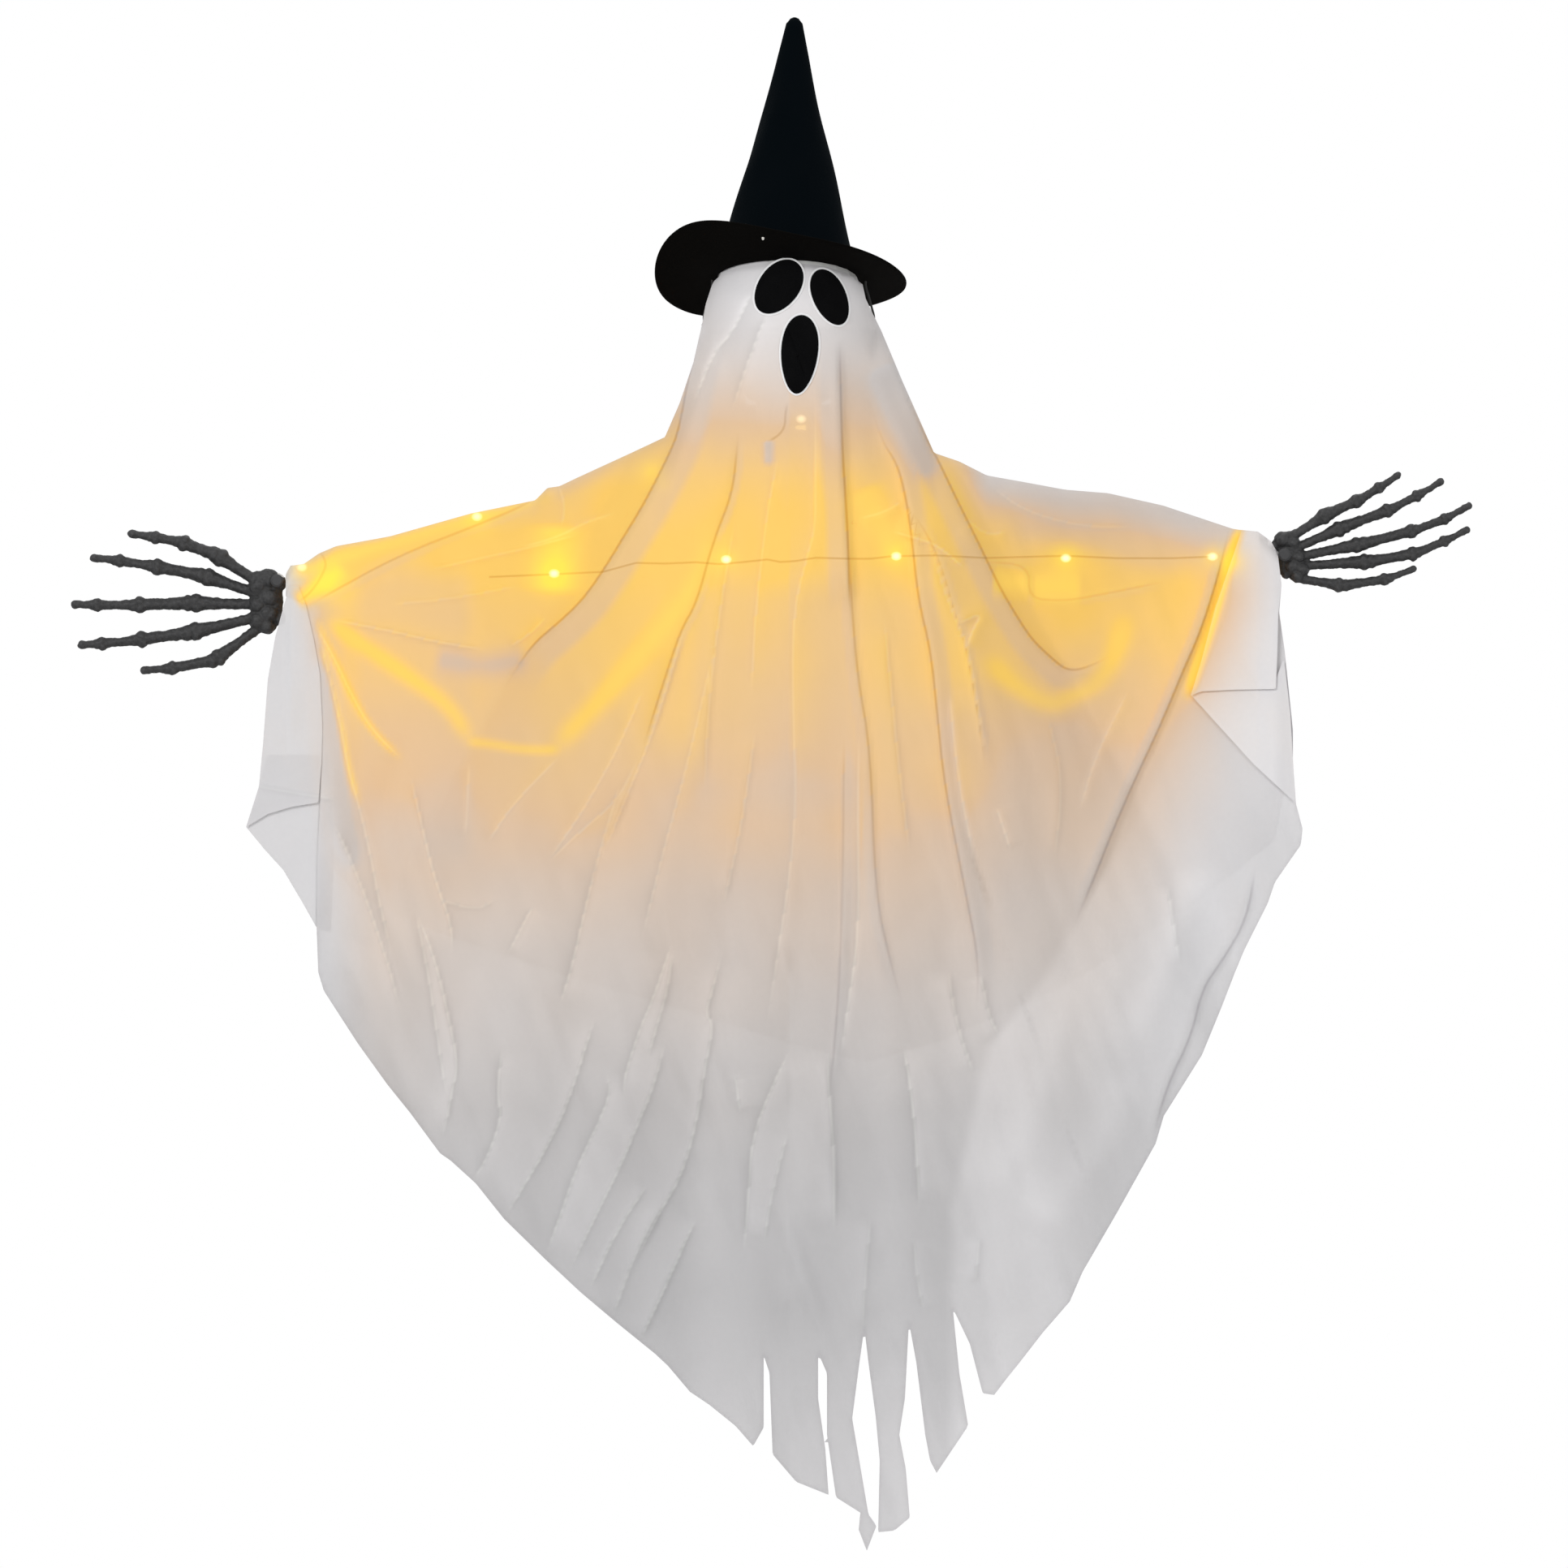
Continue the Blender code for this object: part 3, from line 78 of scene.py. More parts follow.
# The front sheet's outline across and up, with the slits of its hem
FRONT_OUTLINE_MM = (
    (-401.5, -210.5), (-401.5, -192.3), (-397.6, -185.9), (-387.3, -184.6), (-375, -176.1), (-361.4, -170.3),
    (-318.6, -162.5), (-305, -158.7), (-253.9, -144.4), (-202.1, -134.1), (-192.3, -124.3), (-182.6, -123),
    (-169, -116.6), (-125.6, -97.1), (-98.4, -84.8), (-86.8, -58.3), (-75.8, -25.9), (-68.6, 6.5),
    (-66.1, 20.7), (-59.6, 40.2), (-51.2, 54.4), (-43.4, 66.1), (-27.2, 71.9), (0, 74.5), (27.8, 71.9),
    (44, 66.1), (55.7, 49.2), (60.9, 24.6), (73.2, 0), (89.4, -38.9), (115.3, -97.1), (135.3, -103.6),
    (157.4, -114.6), (191.7, -120.5), (220.2, -125.6), (254.5, -128.2), (298.5, -137.9), (354.9, -156.7),
    (361.4, -157.4), (374.3, -158.7), (384.7, -166.4), (389.9, -175.5), (393.1, -200.8), (391.2, -222.8),
    (395.7, -253.9), (402.2, -316.7), (402.2, -348.4), (404.1, -373.7), (409.9, -395.7), (408.6, -408.6),
    (387.9, -438.4), (382.1, -455.3), (363.3, -492.8), (355.5, -511.6), (345.8, -536.9), (329.6, -576.4),
    (299.2, -624.9), (292.7, -647), (261.6, -702.6), (234.4, -749.3), (224.1, -773.2), (202.7, -797.8),
    (182.6, -823.7), (173.6, -834.8), (163.8, -847.7), (154.8, -846.4), (153.5, -841.9), (144.4, -806.9),
    (130.8, -778.4), (136, -830.2), (143.1, -872.3), (117.9, -909.9), (112.7, -900.2), (108.8, -879.4),
    (101.7, -821.8), (95.8, -789.4), (92.6, -850.3), (88.1, -879.4), (93.3, -906.6), (96.5, -945.5),
    (84.2, -955.9), (71.2, -957.2), (72.5, -900.2), (69.3, -865.2), (63.5, -821.8), (60.2, -794),
    (56.3, -821.8), (50.5, -866.5), (63.5, -942.9), (69.9, -952), (62.2, -972), (55.7, -955.2), (57, -941.6),
    (37.6, -929.3), (30.4, -879.4), (30.4, -830.2), (23.3, -814), (23.3, -850.3), (29.1, -891.1),
    (31.7, -927.4), (5.8, -917), (-13, -895), (-15.5, -830.2), (-20.1, -816), (-20.1, -873.6), (-28.5, -888.5),
    (-42.7, -872.3), (-63.5, -855.5), (-79, -845.1), (-96.5, -824.4), (-106.9, -814.7), (-137.3, -790.1),
    (-165.8, -766.1), (-193.6, -740.2), (-227.3, -707.2), (-250, -678.7), (-270, -660.6), (-278.5, -654.7),
    (-302.4, -622.3), (-320.6, -599.7), (-343.9, -567.3), (-371.1, -525.2), (-375.6, -510.3), (-376.9, -474.7),
    (-376.3, -420.9), (-373.7, -365.9), (-372.4, -317.3), (-374.3, -272), (-378.8, -246.1), (-386.6, -216.9)
)
# The back sheet's outline, seen from the front
BACK_OUTLINE_MM = (
    (-398.9, -210.5), *FRONT_OUTLINE_MM[1:45], (398.9, -316.7), (395, -369.1), (387.9, -405.4), (363.3, -424.2),
    (329.6, -452.7), (299.2, -468.9), (261.6, -495.4), (224.1, -519.4), (163.8, -545.9), (117.9, -566),
    (62.2, -582.2), (5.8, -568.6), (-42.7, -553.1), (-106.9, -533.6), (-193.6, -508.4), (-278.5, -479.2),
    (-343.9, -449.4), (-371.7, -419.6), *FRONT_OUTLINE_MM[-5:]
)
LEFT_SLEEVE_MM = (
    (-398.3, -202.1), (-402.8, -216.9), (-409.9, -242.8), (-415.8, -276.5), (-419.6, -327.7), (-422.9, -362),
    (-433.2, -394.4), (-415.8, -384), (-396.3, -378.2), (-375.6, -375), (-373, -343.2), (-372.4, -310.8),
    (-374.3, -272), (-378.8, -246.1), (-385.3, -216.9), (-391.2, -202.1)
)
LEFT_CORNER_MM = (
    (-415.8, -336.8), (-422.9, -362), (-433.2, -394.4), (-418.3, -412.5), (-403.5, -428.7), (-388.6, -454),
    (-376.9, -474.7), (-365.2, -479.2), (-362.7, -408), (-367.8, -336.8)
)
RIGHT_SLEEVE_MM = (
    (361.4, -157.4), (374.3, -158.7), (384.7, -166.4), (389.9, -175.5), (393.1, -200.8), (390.5, -224.7),
    (389.9, -252.6), (388.6, -284.3), (354.9, -284.9), (329, -286.2), (320.6, -289.5), (329, -262.3),
    (340, -220.2), (351, -187.8)
)
RIGHT_FLAP_MM = (
    (320.6, -288.8), (335.5, -275.2), (389.2, -275.2), (395, -259), (400.2, -304.4), (402.8, -349.7),
    (404.7, -375.6), (398.3, -369.8), (371.1, -344.5), (345.2, -316)
)
# Heights of the robe's top fold and of its hem across its width
TOP_LINE_MM = (
    (-415.8, -200.8), *FRONT_OUTLINE_MM[1:18], (-59.6, 38.9), (-43.4, 66.1), (0, 74.5), (44, 66.1),
    *FRONT_OUTLINE_MM[27:40], (400.2, -187.8), (432.6, -200.8)
)
HEM_LINE_MM = (
    (-441.7, -394.4), (-403.5, -428.7), (-376.9, -479.2), (-343.9, -567.3), (-278.5, -654.7), (-193.6, -740.2),
    (-106.9, -814.7), (-42.7, -872.3), (5.8, -917), (62.2, -958.4), (117.9, -909.9), (163.8, -847.7),
    (224.1, -773.2), (261.6, -702.6), (299.2, -624.9), (329.6, -576.4), (363.3, -492.8), (387.9, -438.4),
    (409.9, -401.5), (432.6, -401.5)
)
# Folds of the front sheet: kind, half width, height, and the line that each follows. An edge is a folded
# strip with painted shade on it and painted light leaking past it, a crease a small step with a painted
# lit facet and painted shade beside it, a ridge a soft swell with a painted highlight, and a thread a bare
# line. A glow is painted light alone, and its height is its strength; a glow below nought paints shade.
FRONT_FOLDS_MM = (
    ("edge", 26, 15, ((-69, 6), (-80, -39), (-87, -78), (-94, -97), (-115, -137), (-132, -164), (-148, -190),
        (-166, -215), (-187, -234), (-206, -250), (-228, -285))),
    ("edge", 20, -10, ((94, -52), (101, -68), (109, -86), (118, -102), (134, -135), (150, -166), (168, -203),
        (181, -225), (194, -245), (210, -260), (221, -269), (234, -269), (261, -256))),
    ("edge", 20, -10, ((40, -6), (42, -92), (45, -133), (47, -166), (49, -227))),
    ("edge", 10, -6, ((47, -155), (50, -217), (55, -276), (65, -332), (69, -449), (82, -506), (93, -544))),
    ("edge", 16, 8, ((64, -58), (74, -89), (86, -106), (93, -133), (98, -166), (103, -212), (113, -253),
        (118, -300), (124, -361), (141, -447), (152, -503), (149, -549))),
    ("edge", 7, 7, ((-40, -78), (-41, -94), (-45, -130), (-60, -166), (-74, -217), (-86, -236), (-102, -285),
        (-118, -337))),
    ("edge", 9, -9, ((353, -149), (341, -200), (328, -240), (315, -269), (306, -291), (293, -321), (275, -359),
        (257, -401), (245, -432), (225, -479))),
    ("edge", 7, -6, ((373, -421), (366, -467), (346, -501), (330, -523), (321, -562), (302, -600),
        (289, -648))),
    ("edge", 8, -5, ((-386, -219), (-370, -210), (-312, -178), (-247, -153), (-208, -137), (-192, -123))),
    ("edge", 5, -4, ((-393, -215), (-384, -210), (-374, -197), (-368, -183), (-377, -172))),
    ("edge", 7, -3, ((151, -183), (192, -185), (191, -212), (217, -214), (239, -211), (303, -198))),
    ("edge", 10, 5, ((44, -317), (43, -434), (40, -528), (32, -615))),
    ("edge", 7, 4, ((96, -141), (113, -166), (124, -195), (132, -224), (141, -248), (146, -276), (154, -322),
        (157, -356))),
    ("crease", 9, 5, ((-365, -229), (-317, -238), (-280, -247), (-241, -253))),
    ("crease", 6, 4, ((-222, -250), (-206, -240), (-194, -227))),
    ("crease", 8, -5, ((-380, -230), (-363, -259), (-349, -289), (-333, -317), (-306, -343))),
    ("crease", 16, 4, ((-377, -233), (-365, -282), (-356, -321), (-352, -347), (-342, -381), (-333, -421),
        (-326, -458), (-315, -505))),
    ("crease", 8, 4, ((-286, -189), (-228, -176), (-208, -172), (-178, -164), (-166, -161))),
    ("crease", 6, 3, ((-319, -217), (-267, -212), (-215, -202))),
    ("crease", 7, 3, ((-183, -123), (-178, -139), (-181, -155))),
    ("crease", 9, 4, ((-137, -144), (-163, -152), (-183, -163), (-215, -172))),
    ("crease", 12, -5, ((-302, -353), (-294, -389), (-282, -439), (-269, -472), (-269, -499))),
    ("crease", 8, 4, ((-298, -460), (-287, -516), (-281, -558), (-276, -593), (-272, -612))),
    ("crease", 9, -5, ((-298, -460), (-281, -504), (-269, -558), (-264, -585), (-269, -606), (-272, -623),
        (-278, -648))),
    ("crease", 9, 5, ((-229, -570), (-233, -608), (-229, -626), (-241, -659), (-254, -679))),
    ("crease", 16, -5, ((-154, -544), (-165, -579), (-178, -619), (-193, -650), (-211, -680), (-228, -708))),
    ("crease", 16, 5, ((-153, -421), (-164, -466), (-173, -505), (-183, -538))),
    ("crease", 12, 5, ((-146, -589), (-141, -608), (-169, -665), (-183, -706), (-194, -737))),
    ("crease", 16, -5, ((-98, -563), (-108, -602), (-122, -635), (-133, -662), (-148, -692), (-176, -750))),
    ("crease", 10, 5, ((-93, -486), (-107, -528), (-120, -558), (-132, -596), (-131, -613))),
    ("crease", 12, -5, ((-93, -496), (-97, -525), (-105, -552), (-113, -580))),
    ("crease", 15, -5, ((-52, -489), (-61, -525), (-67, -544), (-60, -552), (-67, -587), (-74, -632),
        (-86, -674), (-104, -703), (-127, -751))),
    ("crease", 10, -5, ((-113, -680), (-137, -716), (-159, -763))),
    ("crease", 10, -4, ((-102, -696), (-122, -733), (-141, -786))),
    ("crease", 12, -5, ((-74, -706), (-98, -760), (-120, -807))),
    ("crease", 13, 5, ((2, -570), (-18, -611), (-30, -647), (-32, -686), (-36, -735))),
    ("crease", 15, 4, ((21, -45), (21, -123), (21, -157), (14, -181), (4, -220), (3, -285), (6, -380),
        (0, -439), (-12, -516), (-19, -563))),
    ("crease", 10, 5, ((56, -317), (55, -380), (56, -480), (46, -544), (41, -583))),
    ("crease", 22, -5, ((32, -570), (31, -596), (36, -647), (36, -719))),
    ("crease", 9, -4, ((-1, -638), (-15, -692), (-20, -728))),
    ("crease", 14, -4, ((-364, -389), (-344, -433), (-321, -499), (-310, -541))),
    ("crease", 8, 4, ((-122, -343), (-137, -374), (-169, -400), (-193, -424))),
    ("crease", 8, 4, ((-135, -361), (-148, -404), (-156, -434))),
    ("crease", 10, -4, ((127, -508), (133, -549), (148, -593))),
    ("crease", 18, 5, ((91, -567), (98, -608), (102, -652), (104, -699))),
    ("crease", 9, -4, ((153, -512), (160, -547), (168, -561))),
    ("crease", 9, -3, ((65, -706), (60, -767), (59, -796))),
    ("crease", 8, -3, ((152, -722), (149, -758))),
    ("crease", 9, 3, ((100, -722), (102, -754), (108, -781))),
    ("crease", 10, 4, ((-241, -408), (-224, -381), (-201, -356), (-183, -338))),
    ("crease", 13, -5, ((-84, -236), (-93, -268), (-111, -326), (-132, -375), (-147, -414))),
    ("crease", 9, -4, ((-115, -282), (-137, -333), (-164, -381), (-194, -424))),
    ("crease", 11, -4, ((115, -178), (128, -218), (143, -251), (150, -291), (158, -337))),
    ("crease", 7, 5, ((82, -159), (96, -163), (117, -169), (141, -189))),
    ("crease", 6, 4, ((89, -136), (76, -144), (57, -149))),
    ("crease", 7, 5, ((135, -232), (155, -223), (146, -238), (142, -253))),
    ("crease", 7, 4, ((166, -379), (177, -413))),
    ("crease", 8, -3, ((-255, -343), (-258, -402))),
    ("crease", 8, 4, ((-204, -457), (-224, -495))),
    ("crease", 6, 3, ((-280, -452), (-249, -461), (-234, -452))),
    ("crease", 14, -4, ((-43, -149), (-56, -227), (-65, -304), (-67, -369))),
    ("crease", 12, 4, ((-8, -97), (-18, -149), (-27, -227), (-30, -291))),
    ("crease", 12, -4, ((76, -227), (82, -291), (89, -356), (97, -421))),
    ("crease", 9, 4, ((-43, -593), (-39, -622))),
    ("crease", 12, 4, ((-60, -253), (-79, -337), (-102, -421), (-118, -486))),
    ("crease", 12, -4, ((-27, -317), (-37, -389), (-53, -460))),
    ("crease", 10, 4, ((128, -285), (135, -356), (148, -421))),
    ("crease", 12, -3, ((206, -304), (219, -356), (212, -421))),
    ("crease", 10, 3, ((271, -285), (245, -337), (232, -382))),
    ("crease", 12, 3, ((161, -123), (186, -142), (232, -155), (277, -155))),
    ("crease", 9, -3, ((141, -149), (157, -162), (174, -159))),
    ("crease", 9, -3, ((302, -440), (306, -466), (312, -505))),
    ("ridge", 20, 6, ((277, -583), (249, -652), (228, -677), (190, -722))),
    ("ridge", 16, 5, ((-344, -479), (-325, -544), (-293, -609), (-267, -648))),
    ("ridge", 18, 5, ((-47, -499), (-60, -596), (-66, -674), (-60, -771))),
    ("ridge", 14, 4, ((8, -609), (8, -693), (2, -784))),
    ("ridge", 16, 4, ((232, -499), (212, -576), (180, -654), (167, -706))),
    ("ridge", 14, 4, ((329, -421), (303, -499), (277, -570))),
    ("glow", 7, 0.34, ((-376, -225), (-333, -254), (-298, -278), (-271, -298), (-259, -317), (-253, -334))),
    ("glow", 4, 0.3, ((-260, -326), (-238, -328), (-212, -333), (-179, -333))),
    ("glow", 9, 0.3, ((-194, -338), (-164, -308), (-139, -280), (-109, -245), (-86, -218), (-67, -190),
        (-52, -149))),
    ("glow", 9, 0.3, ((153, -253), (177, -280), (208, -298), (225, -291), (250, -276), (261, -256),
        (271, -217))),
    ("glow", 4, 0.9, ((364, -146), (354, -172), (346, -201), (336, -236), (325, -269), (316, -297))),
    ("glow", 6, 0.35, ((-402, -198), (-367, -181), (-325, -170), (-267, -152), (-215, -139), (-176, -123))),
    ("glow", 7, 0.8, ((-395, -216), (-380, -206), (-367, -196), (-354, -186))),
    ("glow", 10, 0.45, ((161, -198), (196, -201))),
    ("glow", 11, 0.55, ((192, -203), (235, -203))),
    ("glow", 16, 0.85, ((-184, -152), (-187, -210))),
    ("glow", 14, 0.3, ((57, -123), (73, -155), (89, -181))),
    ("glow", 3, 0.35, ((-380, -223), (-363, -259), (-349, -289), (-333, -317), (-306, -343))),
    ("glow", 3, 0.35, ((-374, -245), (-365, -282), (-356, -321), (-352, -347), (-342, -381))),
    ("glow", 11, -0.35, ((-286, -260), (-241, -267), (-205, -258))),
    ("glow", 8, -0.35, ((-373, -253), (-366, -317), (-358, -382), (-347, -434))),
    ("glow", 11, -0.42, ((73, -26), (94, -84), (115, -123))),
    ("glow", 3.5, -0.7, ((-16, -88), (-16, -108))),
    ("crease", 12, -4, ((-28, 32), (-43, 0), (-60, -19), (-77, -62))),
    ("crease", 10, 3, ((-17, 13), (-30, -19), (-45, -65))),
    ("crease", 6, 3, ((-435, -359), (-409, -365), (-358, -373))),
    ("crease", 9, 3, ((70, 52), (75, 6), (91, -39))),
    ("thread", 1, 0.01, ((-17, -89), (-11, -86), (-6, -82), (-3, -76), (-3, -68), (-1, -58))),
    ("glow", 30, -0.14, ((135, -113), (212, -133), (290, -149), (355, -159))),
    ("glow", 12, -0.16, ((170, -159), (232, -159), (277, -181), (322, -188))),
)

# Cords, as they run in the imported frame
ELASTIC_ROUTE_MM = (
    (-61.2, -98, 42.6), (-61, -93.5, 35.5), (-63.2, -92.5, 27.7), (-65.5, -91.3, 19.4), (-67.5, -88.4, 12),
    (-67.6, -80, 7.4), (-68.4, -68, 4), (-63.8, -57.2, 1.8), (-50.6, -48, 1), (-40.4, -40.2, 1.6),
    (-27.5, -34.4, 3), (-14.2, -32.4, 2.4), (0, -32.7, 2.7), (14.2, -32.4, 2.4), (27.5, -34.4, 3),
    (40.4, -40.2, 1.6), (50.6, -48, 1), (63.8, -57.2, 1.8), (68.4, -68, 4), (67.6, -80, 7.4), (67.5, -88.4, 12),
    (65.5, -91.3, 19.4), (63.2, -92.5, 27.7), (61, -93.5, 35.5), (61.2, -98, 42.6)
)
LEAD_ROUTE_MM = (
    (-15.5, 9.5, -59.3), (-15.5, 9.5, -69.3), (-15.5, 3, -85), (-15.5, -15, -102), (-15.5, -40, -109),
    (-15.5, -60, -106.5), (-15.5, -69, -101), (-15.5, -70, -97.6)
)
SHOULDER_ROUTE_MM = (
    (-15.5, -70, -88.5), (-14, -72, -84.5), (-8, -76, -80), (1, -83, -76.5), (8, -93, -74.5), (8.5, -101, -74),
    (1, -105, -75.5), (-20, -103, -81), (-60, -96, -94), (-109.5, -86, -109), (-180, -61, -130),
    (-248.7, -26, -152.5), (-320, -3, -171), (-383, -2, -191.5)
)
BAR_ROUTE_MM = (
    (-396, -3.4, -197.6), (-229.1, -3.4, -193.3), (-6.5, -3.4, -187.5), (216.1, -3.4, -181.7),
    (383, -3.4, -177.4)
)
# Left hand, measured out from the wrist and up: the joints of each finger from the top one to the thumb
FINGERS_MM = (
    ((16.8, 0), (47.7, 20.5), (76.5, 31), (98.4, 35), (115, 37.6)),
    ((17.6, -9.6), (57.9, 4), (97.8, 11.7), (126.4, 16.2), (144.5, 18.1)),
    ((17.6, -18.9), (67.7, -17.8), (111.4, -19.4), (144.5, -19.4), (159.4, -18.9)),
    ((17.6, -29.6), (68.3, -41.4), (110.1, -47.4), (140.5, -50.6), (154.1, -51.2)),
    ((11.2, -35.2), (49, -63.5), (85.1, -70.2), (105.6, -71.8)),
)
# Wrist bones: out, up, half length, half height and how far forward each is
CARPALS_MM = (
    (7.2, 1.6, 9.3, 8, 1), (15.2, -4.8, 8, 7.2, 1), (6.4, -13.6, 9.6, 8, 1), (15.7, -19.2, 7.2, 7.2, 1),
    (7.2, -26.4, 8.8, 8, 1), (15.2, -32, 7.7, 7.2, 1), (8, -36.5, 6.7, 6.4, 1)
)
SLEEVE_PIECES = (
    ("left_sleeve_end", LEFT_SLEEVE_MM, -0.0016),
    ("left_sleeve_lining", LEFT_CORNER_MM, 0.0010),
    ("right_sleeve_end", RIGHT_SLEEVE_MM, -0.005),
    ("right_sleeve_fold", RIGHT_FLAP_MM, -0.0025),
)
ELASTIC_LENGTH = 0.300
LEAD_LENGTH = 0.120
SHOULDER_LENGTH = 0.460


# Numbers along lines


def table_along(table, across):
    """Heights in metres from a millimetre table, at these places across."""
    places = np.array(table, float) * MM
    return np.interp(across, places[:, 0], places[:, 1])


def ease(value):
    value = np.clip(value, 0.0, 1.0)
    return value * value * (3.0 - 2.0 * value)


def mix(low, high, share):
    return low + (high - low) * share


def line_distance(points, line):
    """Nearest distance from points to a line, the side that they lie on and the share along it."""
    line = np.array(line, float)
    steps = np.linalg.norm(np.diff(line, axis=0), axis=1)
    starts = np.concatenate(([0.0], np.cumsum(steps)))
    best = np.full(len(points), 1e9)
    side = np.zeros(len(points))
    along = np.zeros(len(points))
    for index, (first, second) in enumerate(zip(line, line[1:])):
        way = second - first
        offset = points - first
        share = np.clip(offset @ way / (way @ way), 0.0, 1.0)
        gap = offset - share[:, None] * way
        distance = np.hypot(gap[:, 0], gap[:, 1])
        nearer = distance < best
        best = np.where(nearer, distance, best)
        turn = way[0] * offset[:, 1] - way[1] * offset[:, 0]
        side = np.where(nearer, np.sign(turn), side)
        along = np.where(nearer, (starts[index] + share * steps[index]) / starts[-1], along)
    return best, side, along


def inside_outline(points, outline):
    """Which points lie inside a closed outline."""
    inside = np.zeros(len(points), bool)
    for (ax, az), (bx, bz) in zip(outline, np.roll(outline, -1, axis=0)):
        crosses = (az > points[:, 1]) != (bz > points[:, 1])
        with np.errstate(divide="ignore", invalid="ignore"):
            at = ax + (points[:, 1] - az) * (bx - ax) / (bz - az)
        inside ^= crosses & (points[:, 0] < at)
    return inside


def smooth_noise(points, size, seed):
    """Soft noise from -1 to 1 with hills of about this size, the same each run."""
    rng = np.random.default_rng(seed)
    grid = rng.uniform(-1.0, 1.0, (256, 256))
    place = points / size
    cell = np.floor(place).astype(int)
    part = place - cell
    part = part * part * (3.0 - 2.0 * part)
    x, z = cell[:, 0] % 255, cell[:, 1] % 255
    low = grid[x, z] * (1 - part[:, 0]) + grid[x + 1, z] * part[:, 0]
    high = grid[x, z + 1] * (1 - part[:, 0]) + grid[x + 1, z + 1] * part[:, 0]
    return low * (1 - part[:, 1]) + high * part[:, 1]


# Shape of the cloth

# Shares of its line over which a fold grows and dies away, and how short its steep side is
FOLD_START = 0.14
FOLD_END = 0.16
FOLD_CLIFF = 0.9 * MM
# Heights from which folds count in full: the doubled strip and the line of an edge, a crease and a ridge
FULL_STRIP = 12 * MM
FULL_EDGE = 9 * MM
FULL_CREASE = 5 * MM
FULL_RIDGE = 6 * MM
# How far light leaks in front of a folded edge, how near a fold its line is drawn, and the reach of its gap
LEAK_REACH = 0.010
LINE_REACH = 6 * MM
FOLD_REACH = 0.030
# Fold lines are kept in turn in separate layers, so that two lines that meet don't disturb each other
FOLD_LAYERS = (0, 1, 2, 3)


def bell(distance, width, power=2):
    """One at no distance, nothing a few widths away."""
    return np.exp(-(distance / width) ** power)


def fold_relief(points, folds):
    """Lift of the drawn folds, and the marks of painted light and shade that each leaves on the cloth."""
    lift = np.zeros(len(points))
    marks = {label: np.zeros(len(points)) for label in ("raised", "leak", "light", "gleam", "glow")}
    for layer in FOLD_LAYERS:
        marks[f"gap_{layer}"] = np.full(len(points), FOLD_REACH)
        marks[f"line_{layer}"] = np.zeros(len(points))
    for number, (kind, width, height, line) in enumerate(folds):
        width, height = width * MM, height * MM
        distance, side, along = line_distance(points, rounded(np.array(line) * MM))
        fade = ease(along / FOLD_START) * ease((1.0 - along) / FOLD_END)
        if kind == "glow":
            marks["glow"] += height / MM * fade * bell(distance, width)
            continue
        if kind == "ridge":
            lift += height * fade * bell(distance, width)
            marks["gleam"] += fade * bell(distance, width) * min(1.0, height / FULL_RIDGE)
            continue
        behind = side * distance * np.sign(height)
        height = abs(height)
        cliff = 1.0 / (1.0 + np.exp(-np.clip(behind / FOLD_CLIFF, -30, 30)))
        slope = np.exp(-np.maximum(behind, 0.0) / width)
        lift += height * fade * cliff * slope
        if kind == "edge":
            doubled = fade * min(1.0, height / FULL_STRIP)
            band = ease((width - behind) / (0.35 * width)) * (behind > 0)
            leak = np.exp(np.minimum(behind, 0.0) / LEAK_REACH) * (behind <= 0)
            marks["raised"] = np.maximum(marks["raised"], doubled * band)
            marks["leak"] = np.maximum(marks["leak"], doubled * leak)
            shown = -min(1.0, height / FULL_EDGE)
        elif kind == "thread":
            shown = -0.8
        else:
            shown = min(1.0, height / FULL_CREASE)
            ahead = np.exp(np.minimum(behind, 0.0) / (0.4 * width)) * (behind <= 0)
            marks["light"] += fade * shown * (slope * (behind > 0) - 0.8 * ahead)
        gap, drawn = (f"{label}_{number % len(FOLD_LAYERS)}" for label in ("gap", "line"))
        nearer = distance < np.abs(marks[gap])
        marks[gap] = np.where(nearer, behind, marks[gap])
        marks[drawn] = np.where(nearer, fade * bell(distance, LINE_REACH) * shown, marks[drawn])
    return lift, marks


def rounded(line):
    """The same line with its corners cut twice, so that it bends softly."""
    for _pass in range(2):
        first, second = line[:-1], line[1:]
        cut = np.stack((mix(first, second, 0.25), mix(first, second, 0.75)), axis=1).reshape(-1, 2)
        line = np.concatenate((line[:1], cut, line[-1:]))
    return line


def head_depth(across, height, offset):
    """Half the depth of the covered head at a place, nothing outside it."""
    flat = (1.0 - (across / (HEAD_SIDE + offset)) ** 2
            - ((height - HEAD_CENTRE.z) / (HEAD_HIGH + offset)) ** 2)
    return (HEAD_FRONT + offset) * np.sqrt(np.maximum(flat, 0.0))


# The cloth under the head opens as a cone: its foot as a share of the head, and how fast it widens
CONE_FOOT = 1.10
CONE_SPREAD = 0.55
# Shares of the bar and of the head's half width between which the top fold comes forward
TENT_REACH = 0.82
TENT_FOOT = 1.2
# Where the pleats fan out from: across, up and how much of a drop brings them to their full depth
PLEAT_SOURCE = (0.012, 0.42)
PLEAT_TOP = 0.02
PLEAT_DROP = 0.75
# Waves of the pleats: share, how many times as many, and how far noise and seed shift them
PLEAT_WAVES = ((1.0, 1.0, 1.0, 1.0), (0.55, 1.83, 1.7, 2.1), (0.35, 3.1, -2.0, 0.7))
# Pleats of each sheet: depth, how many in a full turn's radian and their seed
FRONT_PLEATS = ((0.010, 19.0, 3), (0.0022, 61.0, 8))
BACK_PLEATS = ((0.012, 15.0, 12), (0.0025, 47.0, 15))
